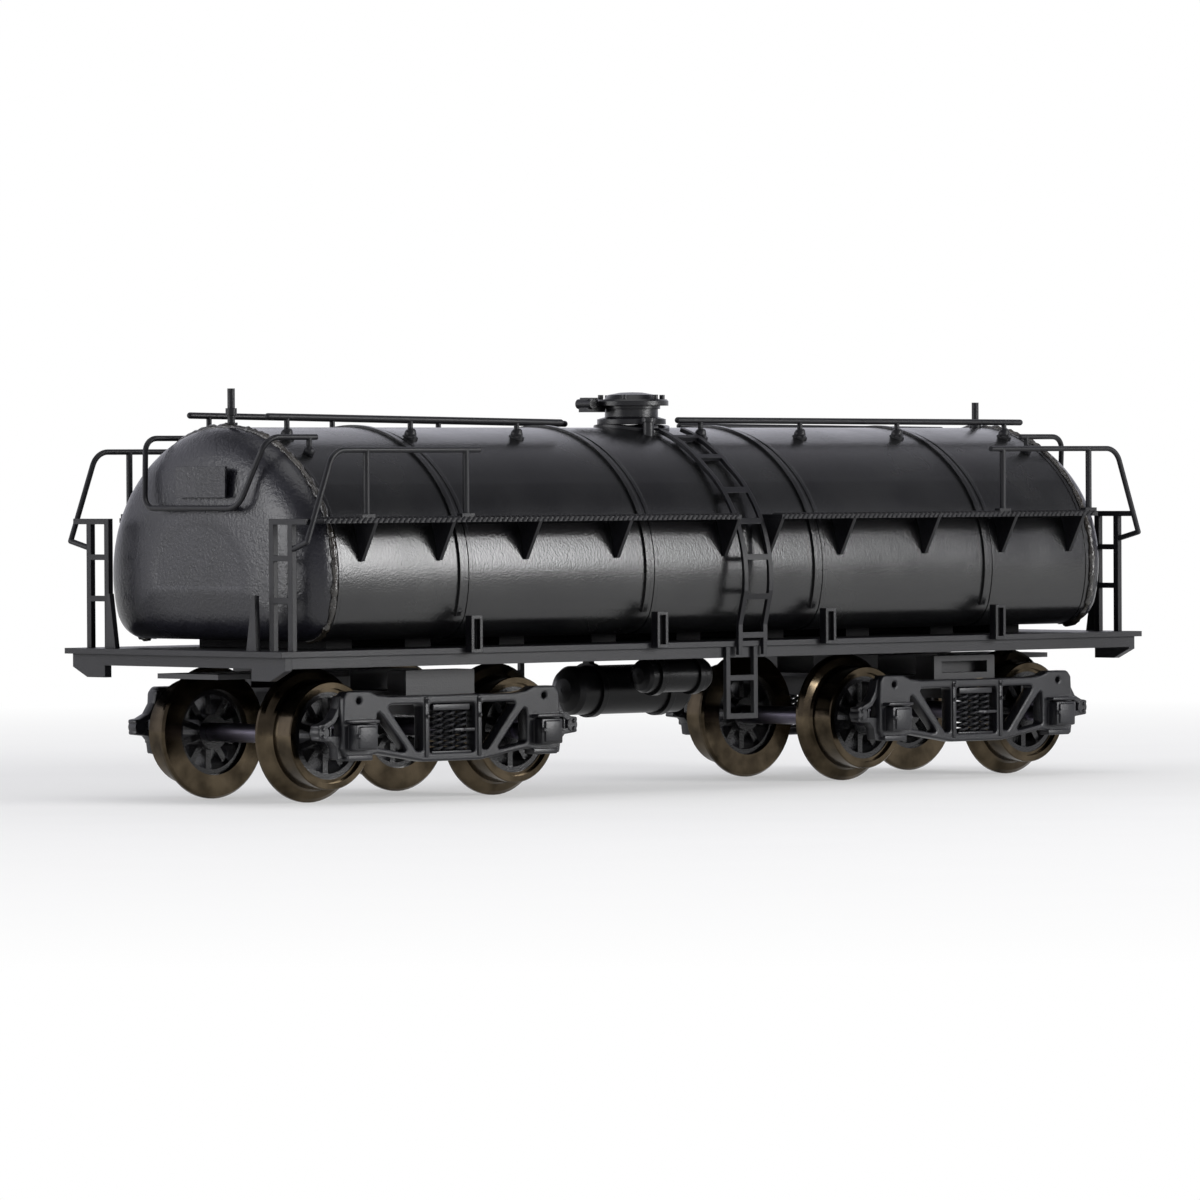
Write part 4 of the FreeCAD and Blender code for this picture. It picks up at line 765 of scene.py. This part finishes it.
class TANKWAGON_OT_wheels(bpy.types.Operator):
    """Finishes tyres, wheel centres and axles"""
    bl_idname = "tankwagon.wheels"
    bl_label = "Wheels"

    def execute(self, context):
        spokes = moulded_abs("abs_moulded_wheel_centre", WAGON.wheels.centre_colour, 0.2)
        shaft = ground_steel("oxidised_axle_steel", linear("#77737f"), linear("#4b4854"), 0.32)
        finish_nodes(turned_tyre_metal(), "tyres")
        finish_nodes(spokes, "wheel_centres")
        finish_nodes(shaft, "axle_")
        return {"FINISHED"}


class TANKWAGON_OT_stage(bpy.types.Operator):
    """Sets the floor, the lamps and the camera"""
    bl_idname = "tankwagon.stage"
    bl_label = "Stage"

    def execute(self, context):
        scene = context.scene
        scene.view_settings.view_transform = "Standard"
        self.floor(scene)
        self.world(scene)
        self.lamps(scene)
        self.camera(scene)
        return {"FINISHED"}

    def floor(self, scene):
        """A wide white card that keeps the shadow near the wagon and glows evenly further off."""
        data = bpy.data.meshes.new("floor")
        half = 6.0
        corners = [(-half, -half, 0), (half, -half, 0), (half, half, 0), (-half, half, 0)]
        data.from_pydata(corners, [], [(0, 1, 2, 3)])
        floor = bpy.data.objects.new("floor", data)
        scene.collection.objects.link(floor)
        material, tree, shader = fresh_material("matt_white_card")
        place = add(tree, "ShaderNodeTexCoord").outputs["Object"]
        mottle = add(tree, "ShaderNodeTexNoise", {"Scale": per_mm(8.0)}, {"Vector": place})
        tone = add(tree, "ShaderNodeMix",
                   {"data_type": "RGBA", 6: opaque(linear("#f0f0ee")), 7: opaque(linear("#f6f6f4"))},
                   {0: mottle.outputs["Fac"]})
        tree.links.new(tone.outputs[2], shader.inputs["Base Color"])
        shader.inputs["Roughness"].default_value = 0.9
        away = add(tree, "ShaderNodeVectorMath", {"operation": "LENGTH"}, {0: place})
        fade = add(tree, "ShaderNodeMapRange",
                   {"From Min": 0.04, "From Max": 0.16, "To Min": 0.4, "To Max": 1.0},
                   {"Value": away.outputs["Value"]})
        share = add(tree, "ShaderNodeMath", {"operation": "MULTIPLY"},
                    {0: fade.outputs[0], 1: seen_directly(tree)})
        glow = add(tree, "ShaderNodeEmission", {"Color": (1.0, 1.0, 1.0, 1.0), "Strength": 1.0})
        both = add(tree, "ShaderNodeMixShader", (),
                   {0: share.outputs[0], 1: shader.outputs[0], 2: glow.outputs[0]})
        for out in tree.nodes:
            if out.bl_idname == "ShaderNodeOutputMaterial":
                tree.links.new(both.outputs[0], out.inputs["Surface"])
        data.materials.append(material)

    def world(self, scene):
        """A white sheet behind, dimmer in front and overhead; plain white where it is seen directly."""
        world = bpy.data.worlds.new("studio")
        scene.world = world
        world.use_nodes = True
        tree = world.node_tree
        tree.nodes.clear()
        place = add(tree, "ShaderNodeTexCoord").outputs["Generated"]
        split = add(tree, "ShaderNodeSeparateXYZ", (), {0: place})
        sheet = add(tree, "ShaderNodeMapRange",
                    {"From Min": -0.3, "From Max": 0.2, "To Min": 0.5, "To Max": 1.0},
                    {"Value": split.outputs["Y"]})
        climb = add(tree, "ShaderNodeMapRange",
                    {"From Min": 0.5, "From Max": 0.66, "To Min": 1.0, "To Max": 0.3,
                     "interpolation_type": "SMOOTHSTEP"}, {"Value": split.outputs["Z"]})
        level = add(tree, "ShaderNodeMath", {"operation": "MULTIPLY"},
                    {0: sheet.outputs[0], 1: climb.outputs[0]})
        soft = add(tree, "ShaderNodeBackground", {"Color": opaque(linear("#f4f4ff"))},
                   {"Strength": level.outputs[0]})
        plain = add(tree, "ShaderNodeBackground", {"Color": (1.0, 1.0, 1.0, 1.0), "Strength": 1.0})
        path = add(tree, "ShaderNodeLightPath")
        both = add(tree, "ShaderNodeMixShader", (), {0: path.outputs["Is Camera Ray"], 1: soft.outputs[0],
                                                     2: plain.outputs[0]})
        add(tree, "ShaderNodeOutputWorld", (), {"Surface": both.outputs[0]})

    def lamps(self, scene):
        """Softboxes: name, place and aim in metres, width and height in metres, power in watts."""
        for name, spot, aim, wide, tall, power in (
                ("key_softbox", (0.110, -0.215, 0.068), (-0.02, -0.01, 0.012), 0.105, 0.10, 0.44),
                ("left_softbox", (-0.49, 0.19, 0.08), (-0.03, 0.0, 0.012), 0.32, 0.26, 1.3),
                ("top_softbox", (-0.05, -0.05, 0.60), (0.0, 0.0, 0.01), 0.5, 0.4, 1.0)):
            data = bpy.data.lights.new(name, "AREA")
            data.shape = "RECTANGLE"
            data.size, data.size_y, data.energy = wide, tall, power
            lamp = bpy.data.objects.new(name, data)
            lamp.location = spot
            lamp.rotation_euler = (Vector(aim) - Vector(spot)).to_track_quat("-Z", "Y").to_euler()
            scene.collection.objects.link(lamp)

    def camera(self, scene):
        """A long lens low at the wagon's left front corner."""
        data = bpy.data.cameras.new("view")
        data.sensor_width, data.lens = 36.0, 233.35
        data.clip_start, data.clip_end = 0.01, 20.0
        camera = bpy.data.objects.new("view", data)
        yaw, rise, roll = math.radians(-42.457), math.radians(0.911), math.radians(-0.290)
        back = Vector((math.sin(yaw) * math.cos(rise), -math.cos(yaw) * math.cos(rise), math.sin(rise)))
        level = (-back).cross(Vector((0, 0, 1))).normalized()
        upright = level.cross(-back)
        right = level * math.cos(roll) + upright * math.sin(roll)
        up = -level * math.sin(roll) + upright * math.cos(roll)
        turn = Matrix((right, up, back)).transposed().to_4x4()
        camera.matrix_world = Matrix.Translation((-0.290549, -0.315766, 0.017069)) @ turn
        scene.collection.objects.link(camera)
        scene.camera = camera


class TANKWAGON_PT_panel(bpy.types.Panel):
    """Lists the wagon's groups and their settings"""
    bl_idname = "TANKWAGON_PT_panel"
    bl_label = "Tank wagon"
    bl_space_type = "VIEW_3D"
    bl_region_type = "UI"
    bl_category = "Tank wagon"

    def draw(self, context):
        wagon = context.scene.tank_wagon
        for group, step in ((wagon.tank, "tank"), (wagon.treads, "walkways"),
                            (wagon.underframe, "underframe"), (wagon.bogies, "bogies"),
                            (wagon.wheels, "wheels")):
            box = self.layout.box()
            for key in group.bl_rna.properties.keys():
                if key not in ("rna_type", "name"):
                    box.prop(group, key)
            box.operator("tankwagon." + step)
        self.layout.operator("tankwagon.stage")


SETTINGS = (TankSizes, TreadSizes, FrameSizes, BogieSizes, WheelSizes, TankWagon)
STEPS = (TANKWAGON_OT_tank, TANKWAGON_OT_walkways, TANKWAGON_OT_underframe, TANKWAGON_OT_bogies,
         TANKWAGON_OT_wheels, TANKWAGON_OT_stage)
CLASSES = (*SETTINGS, *STEPS, TANKWAGON_PT_panel)


def register():
    for cls in CLASSES:
        bpy.utils.register_class(cls)
    bpy.types.Scene.tank_wagon = PointerProperty(type=TankWagon)


def unregister():
    del bpy.types.Scene.tank_wagon
    for cls in reversed(CLASSES):
        bpy.utils.unregister_class(cls)


def main():
    global WAGON
    register()
    WAGON = bpy.context.scene.tank_wagon
    for step in ("tank", "walkways", "underframe", "bogies", "wheels", "stage"):
        getattr(bpy.ops.tankwagon, step)()


if __name__ == "__main__":
    main()
